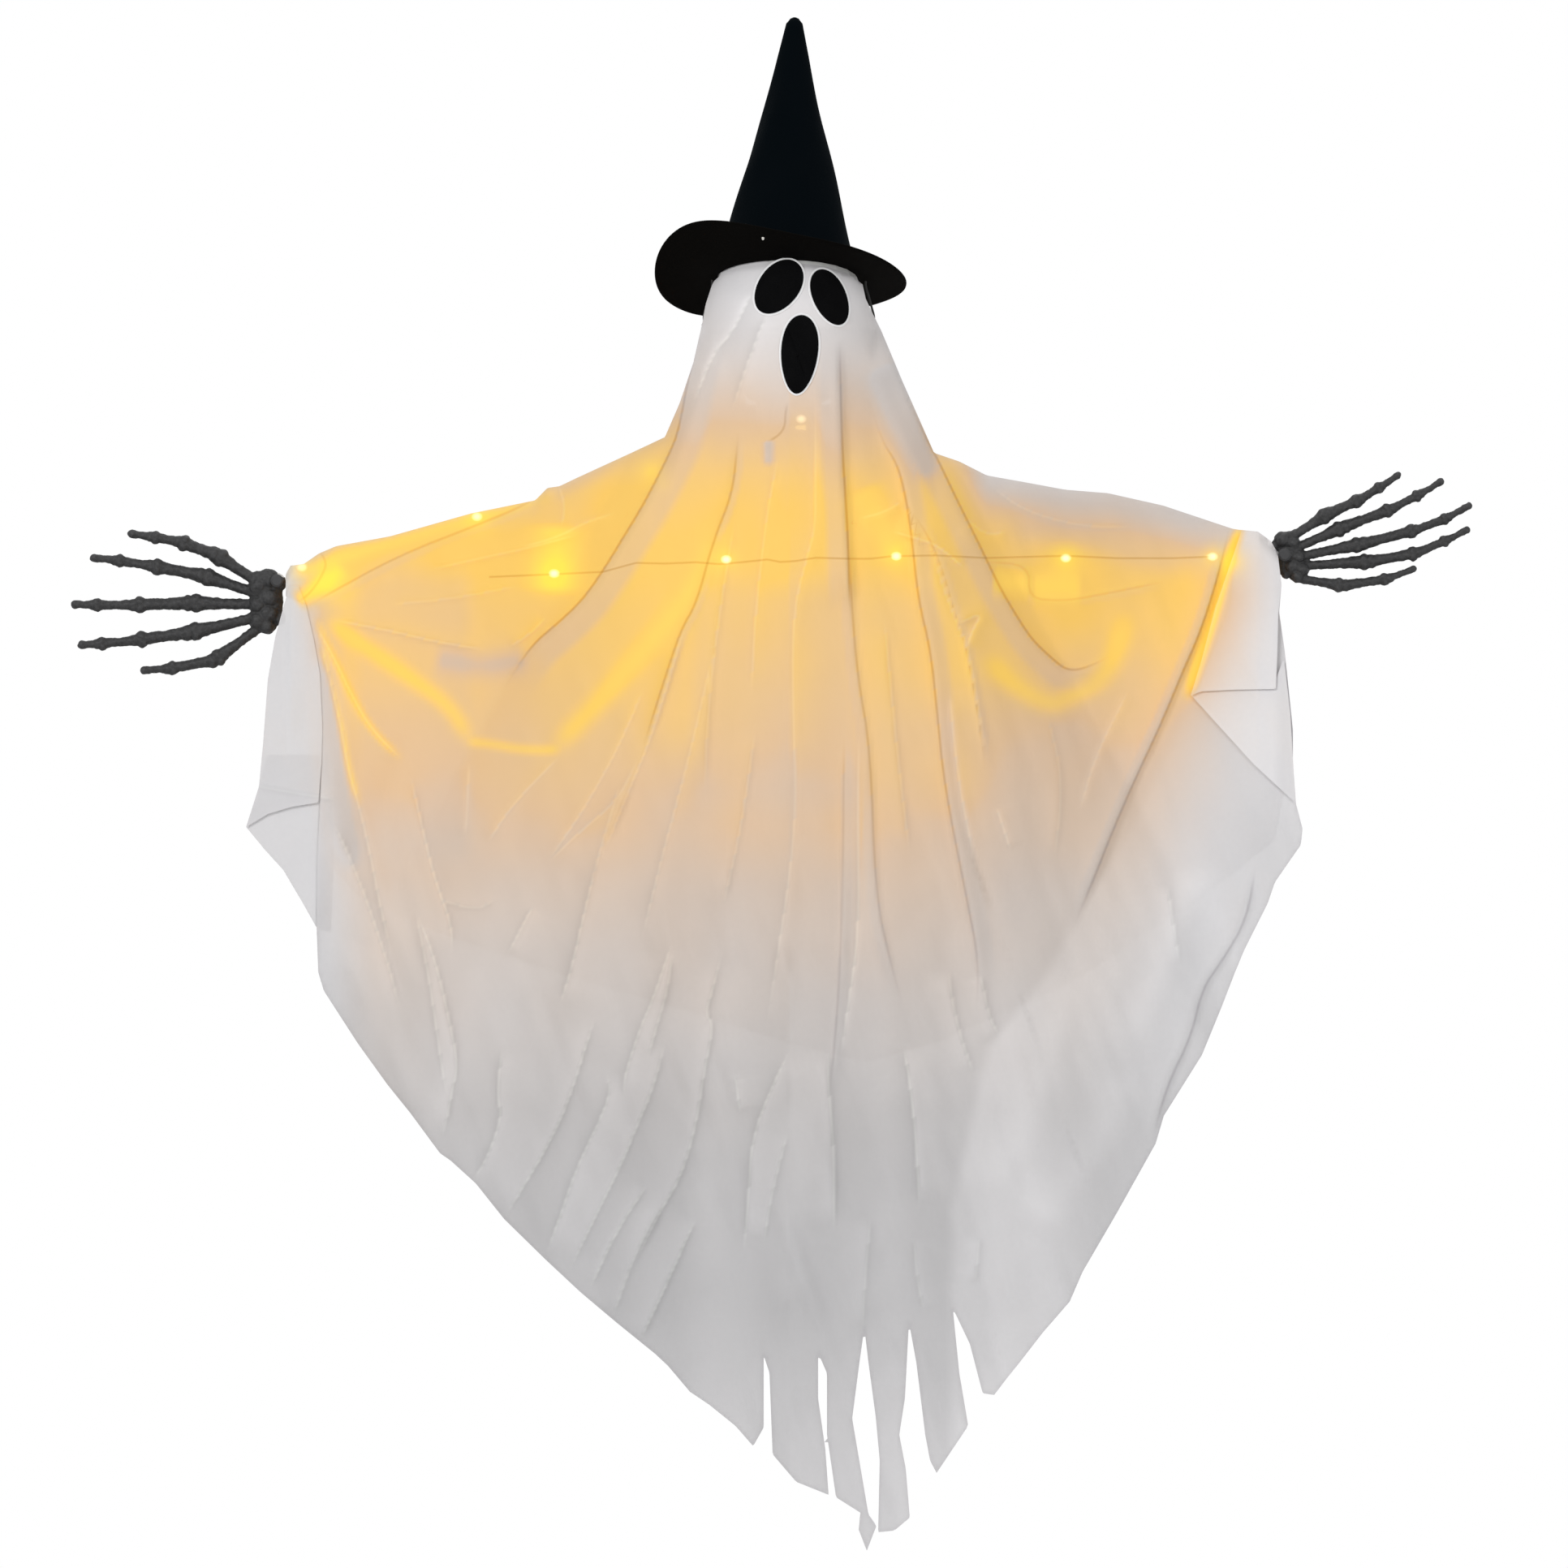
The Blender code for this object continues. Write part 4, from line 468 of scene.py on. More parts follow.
# Depth, size and seed of the small crumples, and the skew that lays the first of them along the fall
FRONT_CRUMPLES = ((0.0020, 0.012, 5), (0.0012, 0.021, 6))
BACK_CRUMPLE = (0.0016, 0.018, 16)
CRUMPLE_SKEW = (0.35, 0.22)
# The back sheet's fall behind the head, clear of the battery case
BACK_FALL = 0.0305


def cloth_measures(points):
    """Place, drop under the top fold, share of the way down, drop under the head, the cone and the bulge."""
    across, height = points[:, 0], points[:, 1]
    top = table_along(TOP_LINE_MM, across)
    foot = table_along(HEM_LINE_MM, across)
    below = np.maximum(top - height, 0.0)
    down = np.clip(below / np.maximum(top - foot, 0.02), 0.0, 1.0)
    fall = np.maximum(HEAD_CENTRE.z - height, 0.0)
    cone = HEAD_SIDE * CONE_FOOT + fall * CONE_SPREAD
    bulge = SLEEVE_BULGE * (1.0 - np.exp(-below / SLEEVE_ROLL)) * ease((np.abs(across) - HEAD_SIDE) / HEAD_SIDE)
    return across, height, below, down, fall, cone, bulge


def tent_depth(across):
    """How far in front of the bar the robe's top fold lies: at the head's middle, nothing at the wrists."""
    reach = (BAR_HALF * TENT_REACH - np.abs(across)) / (BAR_HALF * TENT_REACH - HEAD_SIDE * TENT_FOOT)
    return HEAD_CENTRE.y * ease(reach)


def pleats(points, count, seed):
    """Upright folds that fan out from the head and deepen towards the hem."""
    fan = np.arctan2(points[:, 0] - PLEAT_SOURCE[0], PLEAT_SOURCE[1] - points[:, 1])
    drop = ease((PLEAT_TOP - points[:, 1]) / PLEAT_DROP)
    warp = smooth_noise(points, 0.16, seed) * 0.5
    wave = sum(share * np.sin(fan * count * times + warp * warped + seed * turned)
               for share, times, warped, turned in PLEAT_WAVES)
    return wave * drop * 0.5


def front_depth(points, settings):
    """Y of the front sheet, and the marks of its folds."""
    across, height, below, down, fall, cone, bulge = cloth_measures(points)
    side = mix(tent_depth(across), -FRONT_HEM, ease(down * 1.4)) - bulge
    wrapped = HEAD_CENTRE.y - head_depth(across, np.maximum(height, HEAD_CENTRE.z), CLOTH_EASE)
    hanging = HEAD_CENTRE.y - HEAD_FRONT - FRONT_CHIN + FRONT_FALL * ease(down)
    power = mix(1.0, 2.4, ease(fall / (HEAD_HIGH * 0.8)))
    bump = np.sqrt(np.maximum(0.0, 1.0 - (across / cone) ** 2)) ** power
    upper = np.where(np.abs(across) < HEAD_SIDE + CLOTH_EASE, wrapped, side)
    face = mix(upper, mix(side, hanging, bump), ease(fall / HEAD_HIGH * 2.0))
    lift, marks = fold_relief(points, FRONT_FOLDS_MM)
    free = ease((0.0 - height) / 0.10)
    arms = ease(below / 0.05)
    deep = settings.fold_depth
    (broad_depth, *broad), (narrow_depth, *narrow) = FRONT_PLEATS
    broad, narrow = pleats(points, *broad), pleats(points, *narrow)
    wave = (broad_depth * broad + narrow_depth * narrow) * deep * free
    marks["pleat"] = (broad + 0.7 * narrow) * free
    stretched = np.column_stack((points[:, 0] + points[:, 1] * CRUMPLE_SKEW[0], points[:, 1] * CRUMPLE_SKEW[1]))
    crumple = sum(size * smooth_noise(place, *grain)
                  for place, (size, *grain) in zip((stretched, points), FRONT_CRUMPLES))
    low = ease((-0.34 - height) / 0.2)
    return face - (lift * deep + crumple * settings.crumple * (0.35 + 0.65 * low)) * arms - wave * arms, marks


def back_depth(points, settings):
    """Y of the back sheet, carried out round the battery case."""
    across, height, below, down, fall, cone, bulge = cloth_measures(points)
    bar = -BAR_DROP + (across - BAR_SHIFT) * math.tan(BAR_TILT)
    past = ease(below / np.maximum(height + below - bar - 0.015, 0.0003))
    side = mix(tent_depth(across), 0.0, past) + bulge + (BACK_HEM - SLEEVE_BULGE) * ease(down * 1.8)
    wrapped = HEAD_CENTRE.y + head_depth(across, np.maximum(height, HEAD_CENTRE.z), CLOTH_EASE)
    bump = ease(1.3 - np.abs(across) / cone)
    hanging = mix(BACK_FALL, BACK_HEM, ease(down))
    upper = np.where(np.abs(across) < HEAD_SIDE + CLOTH_EASE, wrapped, side)
    face = mix(upper, mix(side, hanging, bump), ease(fall / (HEAD_HIGH * 0.55)))
    free = ease((-0.10 - height) / 0.15)
    wave = sum(deep * pleats(points, *fan) for deep, *fan in BACK_PLEATS)
    crumple = BACK_CRUMPLE[0] * smooth_noise(points, *BACK_CRUMPLE[1:])
    marks = fold_relief(points, ())[1]
    marks["pleat"] = wave * 60.0 * free
    return face + (np.abs(wave) * settings.fold_depth + crumple * settings.crumple) * free, marks


def camera_fit(points, depth):
    """Draw the cloth in a little where it stands nearer the camera, so that its outline keeps its place."""
    far = -CAMERA_PLACE[1]
    share = 1.0 + ease((-0.05 - points[:, 1]) / 0.2) * (depth / far)
    centre = np.array((CAMERA_PLACE[0], CAMERA_PLACE[2]))
    return centre + (points - centre) * share[:, None]


# Where the lamplight is strongest and how far it reaches, in metres
LIGHT_HEIGHT = -0.150
LIGHT_BELOW = 0.25
LIGHT_ABOVE = 0.085
# Both ends of the lit stretch: place across, how it draws in with depth, and its softness
LIT_LEFT = (0.405, 0.085, 0.05)
LIT_RIGHT = (0.415, 0.25, 0.09)
# How much dimmer the cloth is low on the right, and near the top fold of each arm: side, share and reach
LOW_SHADE = 0.30
TOP_SHADES = ((1, 0.75, 0.060), (-1, 0.30, 0.016))
# Dimmer places: share, then the ends and softness across, and the ends and softness up
DIM_PLACES = (
    (0.20, (-0.075, 0.055, 0.02), (-0.38, -0.20, 0.04)),
    (0.18, (-0.345, -0.255, 0.02), (-0.42, -0.19, 0.03)),
)
# How folds change the light: doubled strips, light leaking past them, and lit creases
STRIP_DIMS = 0.34
LEAK_WARMS = 0.14
CREASE_WARMS = 0.18
LEAST_WARMTH = 0.4
# How the cloth's painted paleness follows its single layer, pleats, noise, strips, lit creases and painted
# shade
LAYER_PALES = 0.11
PLEAT_TONE = 0.07
NOISE_TONE = 0.03
STRIP_TONE = 0.08
CREASE_TONE = 0.14
SHADE_TONE = 0.25


def cloth_light(points, marks):
    """What the lamps inside do to each place of a sheet, painted on it, and its painted paleness and shade."""
    across, height = points[:, 0], points[:, 1]
    below = np.maximum(table_along(TOP_LINE_MM, across) - height, 0.0)
    under = LIGHT_HEIGHT - height
    deep = np.maximum(under, 0.0)
    warmth = bell(np.abs(under), np.where(under > 0, LIGHT_BELOW, LIGHT_ABOVE))
    for place, drawn_in, soft, way in ((*LIT_LEFT, 1), (*LIT_RIGHT, -1)):
        warmth *= ease((place - drawn_in * deep + way * across) / soft)
    warmth *= 1.0 - LOW_SHADE * ease((across - 0.13) / 0.06) * ease((deep - 0.10) / 0.08)
    for way, share, reach in TOP_SHADES:
        warmth *= 1.0 - share * ease((way * across - 0.12) / 0.04) * ease(1.0 - below / reach)
    for share, ends, heights in DIM_PLACES:
        warmth *= 1.0 - share * hump(across, *ends) * hump(height, *heights)
    warmth *= 0.97 + 0.14 * smooth_noise(points, 0.045, 21)
    light = np.clip(marks["light"], -1.0, 1.0) + 0.7 * np.minimum(marks["gleam"], 1.0)
    warmth *= 1.0 - STRIP_DIMS * marks["raised"] + LEAK_WARMS * marks["leak"]
    warmth *= 1.0 + CREASE_WARMS * light
    warmth = np.maximum(warmth + marks["glow"], LEAST_WARMTH * warmth)
    near = np.zeros(len(points))
    nearest = np.full(len(points), 1.0)
    spot = {label: np.zeros(len(points)) for label in ("spark", "off_x", "off_z")}
    for place, up, share, reach, core in GLINTS_MM:
        off_x, off_z = across - place * MM, height - up * MM
        gap = np.hypot(off_x, off_z)
        near += share * bell(gap, reach * MM, 1.4)
        nearer = (gap < nearest) & (core > 0.0)
        nearest = np.where(nearer, gap, nearest)
        for label, values in (("spark", core * bell(gap, 0.020)), ("off_x", off_x), ("off_z", off_z)):
            spot[label] = np.where(nearer, values, spot[label])
    glare = near + 0.6 * marks["glow"]
    # The cloth's paleness, painted with the light and shade of its height, layers, pleats and folds
    shade_and_tone = np.interp(height, *np.array(SHADED_TONES_BY_HEIGHT).T)
    outer = ease((across - table_along(OUTER_RIGHT_MM, height)) / 0.014 + 0.5) * ease((-0.20 - height) / 0.15)
    shade_and_tone += LAYER_PALES * np.maximum(outer, ease((np.abs(across) - 0.33) / 0.04) * ease((height + 0.62) / 0.2))
    shade_and_tone *= 1.0 - PLEAT_TONE * np.clip(marks["pleat"], -1.5, 1.5) + NOISE_TONE * smooth_noise(points, 0.06, 31)
    shade_and_tone *= (1.0 - STRIP_TONE * marks["raised"] + CREASE_TONE * light
             + SHADE_TONE * np.clip(marks["glow"], -0.7, 0.0))
    return {"warmth": np.clip(warmth, 0.0, 1.3), "glare": np.clip(glare, 0.0, 1.0),
            "shade_and_tone": np.clip(shade_and_tone, 0.0, 1.15), **spot}


def hump(value, low, high, soft):
    """One between two ends, nothing outside them, with soft slopes."""
    return ease((value - low) / soft + 0.5) * ease((high - value) / soft + 0.5)


# Where lamps shine through the front sheet: across, up, strength and radius of the halo, strength of the core
GLINTS_MM = (
    (9.7, -71.2, 0.12, 6.0, 0.35), (-109.4, -112.0, 0.45, 9.0, 0.0), (-98.4, -123.0, 0.1, 7.0, 0.0),
    (-248.7, -147.0, 0.7, 10.0, 0.8), (-388.5, -187.2, 0.7, 9.0, 0.5), (-367.2, -200.8, 0.75, 14.0, 0.0),
    (-187.2, -192.3, 1.0, 13.0, 1.0), (-49.9, -181.3, 0.7, 7.0, 1.0), (85.5, -178.7, 0.75, 8.0, 1.0),
    (220.8, -180.0, 0.85, 10.0, 1.0), (338.0, -178.7, 0.6, 8.0, 0.8), (353.6, -182.6, 0.75, 9.0, 0.0)
)
# The lit wire of the light string, as it shows through the cloth
SEEN_WIRE_MM = (
    (-240, -195), (-192, -193), (-148, -191), (-122, -184), (-98, -184.5), (-74, -183.5), (-55, -185),
    (-36, -183.3), (-17, -181.3), (-7, -183.3), (5, -182.6), (21, -180), (47, -180.7), (65, -180.7),
    (82, -178.7), (117, -178.1), (157, -180), (221, -178.1), (261, -180), (306, -180), (338, -178.7)
)
# How pale the cloth is painted at each height, with the light and shade that fall on it: palest over the head
SHADED_TONES_BY_HEIGHT = (
    (-0.98, 0.71), (-0.88, 0.66), (-0.78, 0.55), (-0.62, 0.54), (-0.56, 0.61), (-0.47, 0.65), (-0.4, 0.66),
    (-0.2, 0.68), (-0.08, 0.79), (-0.03, 0.86), (0.03, 0.89), (0.08, 0.9)
)
# Right of this line the robe is one layer of cloth: height, then across
OUTER_RIGHT_MM = (
    (-700, 130), (-571, 159), (-512, 206), (-455, 236), (-389, 277), (-330, 303), (-289, 321), (-230, 339),
    (-160, 361), (0, 370)
)


# Sheets


# Softness of a sheet's edge line, the sleeve pieces' painted paleness, and how much painted shade darkens
# the left and the wrist
HEM_LINE = 0.0016
SLEEVE_TONE = 0.90
LEFT_SLEEVE_DARKER = 0.13
WRIST_DARKER = 0.05
# The back sheet gets thinner near its hem: by how much, over what width, and below what height
THIN_HEM = (0.5, 0.12, -0.40)


def cloth_net(outline, spacing, holes):
    """A fine net of squares, trimmed and drawn to an outline: its points and the squares' corners."""
    low = outline.min(axis=0) - spacing
    counts = np.ceil((outline.max(axis=0) + spacing - low) / spacing).astype(int) + 1
    columns, rows = np.meshgrid(np.arange(counts[0]), np.arange(counts[1]), indexing="ij")
    grid = np.stack((low[0] + columns * spacing, low[1] + rows * spacing), axis=-1)
    middles = grid[:-1, :-1].reshape(-1, 2) + spacing / 2
    across, up = middles.T
    keep = inside_outline(middles, outline)
    for left, right, foot, head in holes:
        keep &= ~((across > left) & (across < right) & (up > foot) & (up < head))
    cells = np.arange(counts[0] * counts[1]).reshape(counts)
    corners = np.stack((cells[:-1, :-1], cells[1:, :-1], cells[1:, 1:], cells[:-1, 1:]), axis=-1)
    used, flat = np.unique(corners.reshape(-1, 4)[keep], return_inverse=True)
    corners = flat.reshape(-1, 4)
    points = grid.reshape(-1, 2)[used]
    edges = np.concatenate([corners[:, [k, (k + 1) % 4]] for k in range(4)])
    ends, counted = np.unique(np.sort(edges, axis=1), axis=0, return_counts=True)
    rim = np.unique(ends[counted == 1])
    points[rim] = drawn_to(points[rim], outline, spacing * 1.6)
    return points, corners


def cut_sheet(name, outline, spacing, depth_of, settings, holes=(), lift=0.0, outward=-1, paler=0.0):
    """A sheet of cloth cut to an outline and set at its depth, with the values that its material reads."""
    outline = np.array(outline, float) * MM
    points, corners = cloth_net(outline, spacing, holes)
    across, up = points.T
    border = line_distance(points, np.concatenate((outline, outline[:1])))[0]
    depth, marks = depth_of(points, settings)
    depth = depth + lift
    looks = cloth_light(points, marks)
    left = across < 0
    # The sleeve pieces' own painted paleness, with painted shade on the left and at the wrist
    sleeve = SLEEVE_TONE - LEFT_SLEEVE_DARKER * left - WRIST_DARKER * ease((across - 0.385) / 0.01)
    thinner, width, start = THIN_HEM
    looks["thin"] = thinner * ease(1.0 - border / width) * ease((start - up) / 0.06) * (outward > 0)
    looks["edge"] = bell(border, HEM_LINE) * (1.0 - 0.8 * paler * left)
    looks["shade_and_tone"] = mix(looks["shade_and_tone"], sleeve, paler)
    looks.update({label: values for label, values in marks.items() if label[:4] in ("gap_", "line")})
    if not paler:
        seen = (across > SEEN_WIRE_MM[0][0] * MM) & (across < SEEN_WIRE_MM[-1][0] * MM)
        looks["wire"] = np.where(seen, 1.0 + up - table_along(SEEN_WIRE_MM, across), 0.0)
    placed = camera_fit(points, depth)
    mesh = bpy.data.meshes.new(name)
    faces = corners if outward < 0 else corners[:, ::-1]
    mesh.from_pydata(np.column_stack((placed[:, 0], depth, placed[:, 1])).tolist(), [], faces.tolist())
    for label, values in looks.items():
        mesh.attributes.new(label, "FLOAT", "POINT").data.foreach_set("value", values.astype(np.float32))
    uv = mesh.uv_layers.new(name="cloth")
    loops = np.zeros(len(mesh.loops), np.int32)
    mesh.loops.foreach_get("vertex_index", loops)
    uv.data.foreach_set("uv", points[loops].astype(np.float32).ravel())
    mesh.shade_smooth()
    return add_object(name, mesh), sheet_area(points, corners)


def drawn_to(points, outline, reach):
    """Move rim points onto the nearest place of the outline, where it is within reach."""
    best = np.full(len(points), 1e9)
    found = points.copy()
    for first, second in zip(outline, np.roll(outline, -1, axis=0)):
        way = second - first
        share = np.clip((points - first) @ way / max(way @ way, 1e-12), 0.0, 1.0)
        near = first + share[:, None] * way
        gap = np.hypot(*(points - near).T)
        nearer = gap < best
        best = np.where(nearer, gap, best)
        found = np.where(nearer[:, None], near, found)
    return np.where((best < reach)[:, None], found, points)


def sheet_area(points, corners):
    """Flat area of the cut cloth, in square metres."""
    a, b, c, d = (points[corners[:, k]] for k in range(4))
    first, second = c - a, d - b
    return float(np.abs(first[:, 0] * second[:, 1] - first[:, 1] * second[:, 0]).sum() / 2)


# Materials


def add_node(tree, kind, **values):
    """A shader node with its settings and the plain values of its sockets."""
    made = tree.nodes.new(kind)
    for key, value in values.items():
        if key.startswith("in_"):
            socket = key[3:]
            made.inputs[int(socket) if socket.isdigit() else socket.replace("_", " ")].default_value = value
        else:
            setattr(made, key, value)
    return made


def new_material(name):
    """A material, its node tree and its Principled shader."""
    made = bpy.data.materials.new(name)
    made.use_nodes = True
    tree = made.node_tree
    return made, tree, tree.nodes["Principled BSDF"]


def feed(tree, made, values):
    """Give a node's inputs their sockets or plain values."""
    for slot, value in values.items():
        if isinstance(value, bpy.types.NodeSocket):
            tree.links.new(value, made.inputs[slot])
        else:
            made.inputs[slot].default_value = value


def mix_colour(tree, share, first, second, blend="MIX"):
    """A mix of two colours, each a socket or three plain values."""
    made = add_node(tree, "ShaderNodeMix", data_type="RGBA", blend_type=blend)
    feed(tree, made, {0: share})
    for slot, colour in ((6, first), (7, second)):
        feed(tree, made, {slot: colour if isinstance(colour, bpy.types.NodeSocket) else (*colour, 1.0)})
    return made.outputs[2]


def sum_of(tree, operation, first, second=0.0, clamp=False):
    """A Math node on sockets or plain numbers."""
    made = add_node(tree, "ShaderNodeMath", operation=operation, use_clamp=clamp)
    feed(tree, made, {0: first, 1: second})
    return made.outputs[0]


def ranged(tree, value, low, high, out_low=0.0, out_high=1.0):
    """A value carried from one range to another, held at both ends."""
    made = add_node(tree, "ShaderNodeMapRange")
    feed(tree, made, {0: value, 1: low, 2: high, 3: out_low, 4: out_high})
    return made.outputs[0]


def attribute(tree, name):
    return add_node(tree, "ShaderNodeAttribute", attribute_name=name).outputs["Fac"]


def new_group(name, inputs, outputs):
    """An empty node group with named number inputs, their usual values, and named number outputs."""
    group = bpy.data.node_groups.new(name, "ShaderNodeTree")
    for label, value in inputs.items():
        made = group.interface.new_socket(label, in_out="INPUT", socket_type="NodeSocketFloat")
        made.default_value = value
    for label in outputs:
        group.interface.new_socket(label, in_out="OUTPUT", socket_type="NodeSocketFloat")
    return group, group.nodes.new("NodeGroupInput").outputs, group.nodes.new("NodeGroupOutput")


def use_group(tree, name, **values):
    """Place a shared effect in a material, with the material's own values, and give its outputs."""
    made = tree.nodes.new("ShaderNodeGroup")
    made.node_tree = bpy.data.node_groups[name]
    feed(tree, made, values)
    return made.outputs


def object_noise(tree, scale, detail):
    """Noise on Object coordinates, at a scale that a socket gives."""
    place = add_node(tree, "ShaderNodeTexCoord")
    noise = add_node(tree, "ShaderNodeTexNoise", in_Detail=detail)
    feed(tree, noise, {"Vector": place.outputs["Object"], "Scale": scale})
    return noise.outputs[0]


def make_grain_group():
    """Mottled grain: two sizes of noise."""
    group, given, result = new_group("mottled_grain", {"Coarse": 60.0, "Fine": 900.0, "Balance": 0.5},
                                     ("Grain", "Patches"))
    coarse = object_noise(group, given["Coarse"], 3.0)
    fine = object_noise(group, given["Fine"], 2.0)
    blend = add_node(group, "ShaderNodeMix", data_type="FLOAT")
    feed(group, blend, {0: given["Balance"], 2: coarse, 3: fine})
    feed(group, result, {"Grain": blend.outputs[0], "Patches": coarse})


def make_weave_group():
    """Plain weave: crossed threads on the cloth's own cut."""
    group, given, result = new_group("plain_weave", {"Threads": 1400.0}, ("Height",))
    cut = add_node(group, "ShaderNodeUVMap", uv_map="cloth")
    waves = []
    for direction in ("X", "Y"):
        wave = add_node(group, "ShaderNodeTexWave", bands_direction=direction, in_Distortion=1.2, in_Detail=1.0)
        feed(group, wave, {"Vector": cut.outputs[0], "Scale": given["Threads"]})
        waves.append(wave.outputs["Fac"])
    feed(group, result, {"Height": sum_of(group, "MULTIPLY", *waves)})


def make_wear_group():
    """Rubbed edges: where the surface turns outwards, broken up by grain."""
    group, given, result = new_group("rubbed_edges", {"Amount": 0.5, "Breakup": 300.0}, ("Wear",))
    shape = add_node(group, "ShaderNodeNewGeometry")
    raised = ranged(group, shape.outputs["Pointiness"], 0.50, 0.60)
    broken = sum_of(group, "MULTIPLY", raised, object_noise(group, given["Breakup"], 3.0))
    feed(group, result, {"Wear": sum_of(group, "MULTIPLY", broken, given["Amount"], clamp=True)})


def make_fold_line_group():
    """Thin lines on the cloth: shade at folded edges, light on creases, and the wire that touches it."""
    group, given, result = new_group("fold_lines", {"Width": 0.0012}, ("Shade", "Crest", "Wire"))
    total = {"Shade": 0.0, "Crest": 0.0}
    for layer in FOLD_LAYERS:
        distance = sum_of(group, "ABSOLUTE", attribute(group, f"gap_{layer}"))
        line = ranged(group, sum_of(group, "DIVIDE", distance, given["Width"]), 0.25, 1.0, 1.0, 0.0)
        drawn = sum_of(group, "MULTIPLY", line, attribute(group, f"line_{layer}"))
        for label, side in (("Shade", -1.0), ("Crest", 1.0)):
            seen = sum_of(group, "MAXIMUM", sum_of(group, "MULTIPLY", drawn, side), 0.0)
            total[label] = sum_of(group, "MAXIMUM", seen, total[label])
    wire_gap = sum_of(group, "ABSOLUTE", sum_of(group, "SUBTRACT", attribute(group, "wire"), 1.0))
    feed(group, result, {**total, "Wire": ranged(group, wire_gap, 0.0004, 0.0011, 1.0, 0.0)})


def make_lamp_core_group():
    """The small bright core of a lamp behind the cloth, painted on the cloth as a glow, a little wider than it
    is high.
    """
    group, given, result = new_group("lamp_core", {"Radius": 0.0022}, ("Core",))
    across = sum_of(group, "POWER", sum_of(group, "MULTIPLY", attribute(group, "off_x"), 0.8), 2.0)
    high = sum_of(group, "POWER", attribute(group, "off_z"), 2.0)
    gap = sum_of(group, "SQRT", sum_of(group, "ADD", across, high))
    core = ranged(group, sum_of(group, "DIVIDE", gap, given["Radius"]), 0.5, 1.6, 1.0, 0.0)
    feed(group, result, {"Core": sum_of(group, "MULTIPLY", core, attribute(group, "spark"))})


def bump_from(tree, height, strength, distance):
    """The normal of a bump of this strength and height."""
    bump = add_node(tree, "ShaderNodeBump", in_Strength=strength, in_Distance=distance)
    feed(tree, bump, {"Height": height})
    return bump.outputs[0]


WHITE = (1.0, 1.0, 1.0)
BLACK = (0.0, 0.0, 0.0)
# Tints of the painted shade lines on the cloth, where the painted lamplight is cool and where it is warm, of
# the painted light on creases, the seen wire and hems, and the colours of the painted lamp cores and pale glow
LINE_COOL = (0.76, 0.74, 0.76)
LINE_WARM = (0.76, 0.61, 0.40)
CREST_LIGHT = (0.060, 0.068, 0.055)
WIRE_SHADE = (0.82, 0.72, 0.56)
HEM_SHADE = (0.55, 0.54, 0.56)
CORE_COLOUR = (1.0, 0.95, 0.62)
PALE_GLOW_COLOUR = (1.0, 0.98, 0.98)


def cloth_material(name, settings, cover, warm_share):
    """Sheer voile: cool grey, painted with the inner lamps' light, glow and shade, denser at folded edges and
    hems.
    """
    made, tree, shader = new_material(name)

    def times(first, second):
        return sum_of(tree, "MULTIPLY", first, second)

    def plus(first, second, clamp=False):
        return sum_of(tree, "ADD", first, second, clamp)

    warmth, glare, thin, shade_and_tone, edge = (
        attribute(tree, label) for label in ("warmth", "glare", "thin", "shade_and_tone", "edge"))
    spark = use_group(tree, "lamp_core", Radius=0.0024)[0]
    grain = use_group(tree, "mottled_grain", Coarse=9.0, Fine=260.0, Balance=0.35)
    lines = use_group(tree, "fold_lines", Width=0.0015)
    colour = mix_colour(tree, grain["Grain"], settings.cloth_shade, settings.cloth_colour)
    # Painted light and shade: the colour is scaled by the cloth's painted paleness
    shade = add_node(tree, "ShaderNodeCombineColor")
    feed(tree, shade, {0: shade_and_tone, 1: shade_and_tone, 2: shade_and_tone})
    colour = mix_colour(tree, 1.0, colour, shade.outputs[0], "MULTIPLY")
    warm = times(warmth, warm_share)
    tint = mix_colour(tree, ranged(tree, warm, 0.2, 0.8), LINE_COOL, LINE_WARM)
    for share, over, blend in (
            (ranged(tree, warm, 0.0, 0.45), settings.blush_colour, "MIX"),
            (ranged(tree, warm, 0.40, 1.0), settings.glow_colour, "MIX"),
            (glare, settings.spark_colour, "MIX"),
            (lines["Shade"], tint, "MULTIPLY"),
            (lines["Crest"], CREST_LIGHT, "ADD"),
            (lines["Wire"], WIRE_SHADE, "MULTIPLY"),
            (times(edge, 0.20), HEM_SHADE, "MIX")):
        colour = mix_colour(tree, share, colour, over, blend)
    # Painted glow given off by the cloth: lamplight near the lamps and in warm places, a little white where
    # palest
    painted_glow = mix_colour(tree, plus(times(glare, 0.22), times(warm, 0.12)), BLACK, settings.spark_colour)
    painted_glow = mix_colour(tree, ranged(tree, shade_and_tone, 0.80, 1.05, 0.0, 0.08), painted_glow, PALE_GLOW_COLOUR, "ADD")
    dense = plus(times(grain["Patches"], 0.06), cover)
    dense = plus(dense, times(sum_of(tree, "MAXIMUM", lines["Shade"], edge), 0.10))
    dense = plus(dense, times(warm, 0.08), clamp=True)
    weave = use_group(tree, "plain_weave", Threads=1400.0)[0]
    feed(tree, shader, {
        "Base Color": colour, "Alpha": sum_of(tree, "SUBTRACT", dense, thin),
        "Emission Color": mix_colour(tree, spark, painted_glow, CORE_COLOUR), "Emission Strength": 1.0,
        "Roughness": 0.78, "Sheen Weight": 0.08, "Sheen Roughness": 0.5,
        "Normal": bump_from(tree, weave, 0.25, 0.00025)})
    return made


def felt_material(name, colour, lint):
    """Pressed felt: near black, with soft mottling and a little grey lint."""
    made, tree, shader = new_material(name)
    grain = use_group(tree, "mottled_grain", Coarse=45.0, Fine=1600.0, Balance=0.6)["Grain"]
    feed(tree, shader, {
        "Base Color": mix_colour(tree, sum_of(tree, "POWER", grain, 3.0), colour, lint), "Roughness": 0.95,
        "Specular IOR Level": 0.03, "Normal": bump_from(tree, grain, 0.5, 0.0006)})
    return made


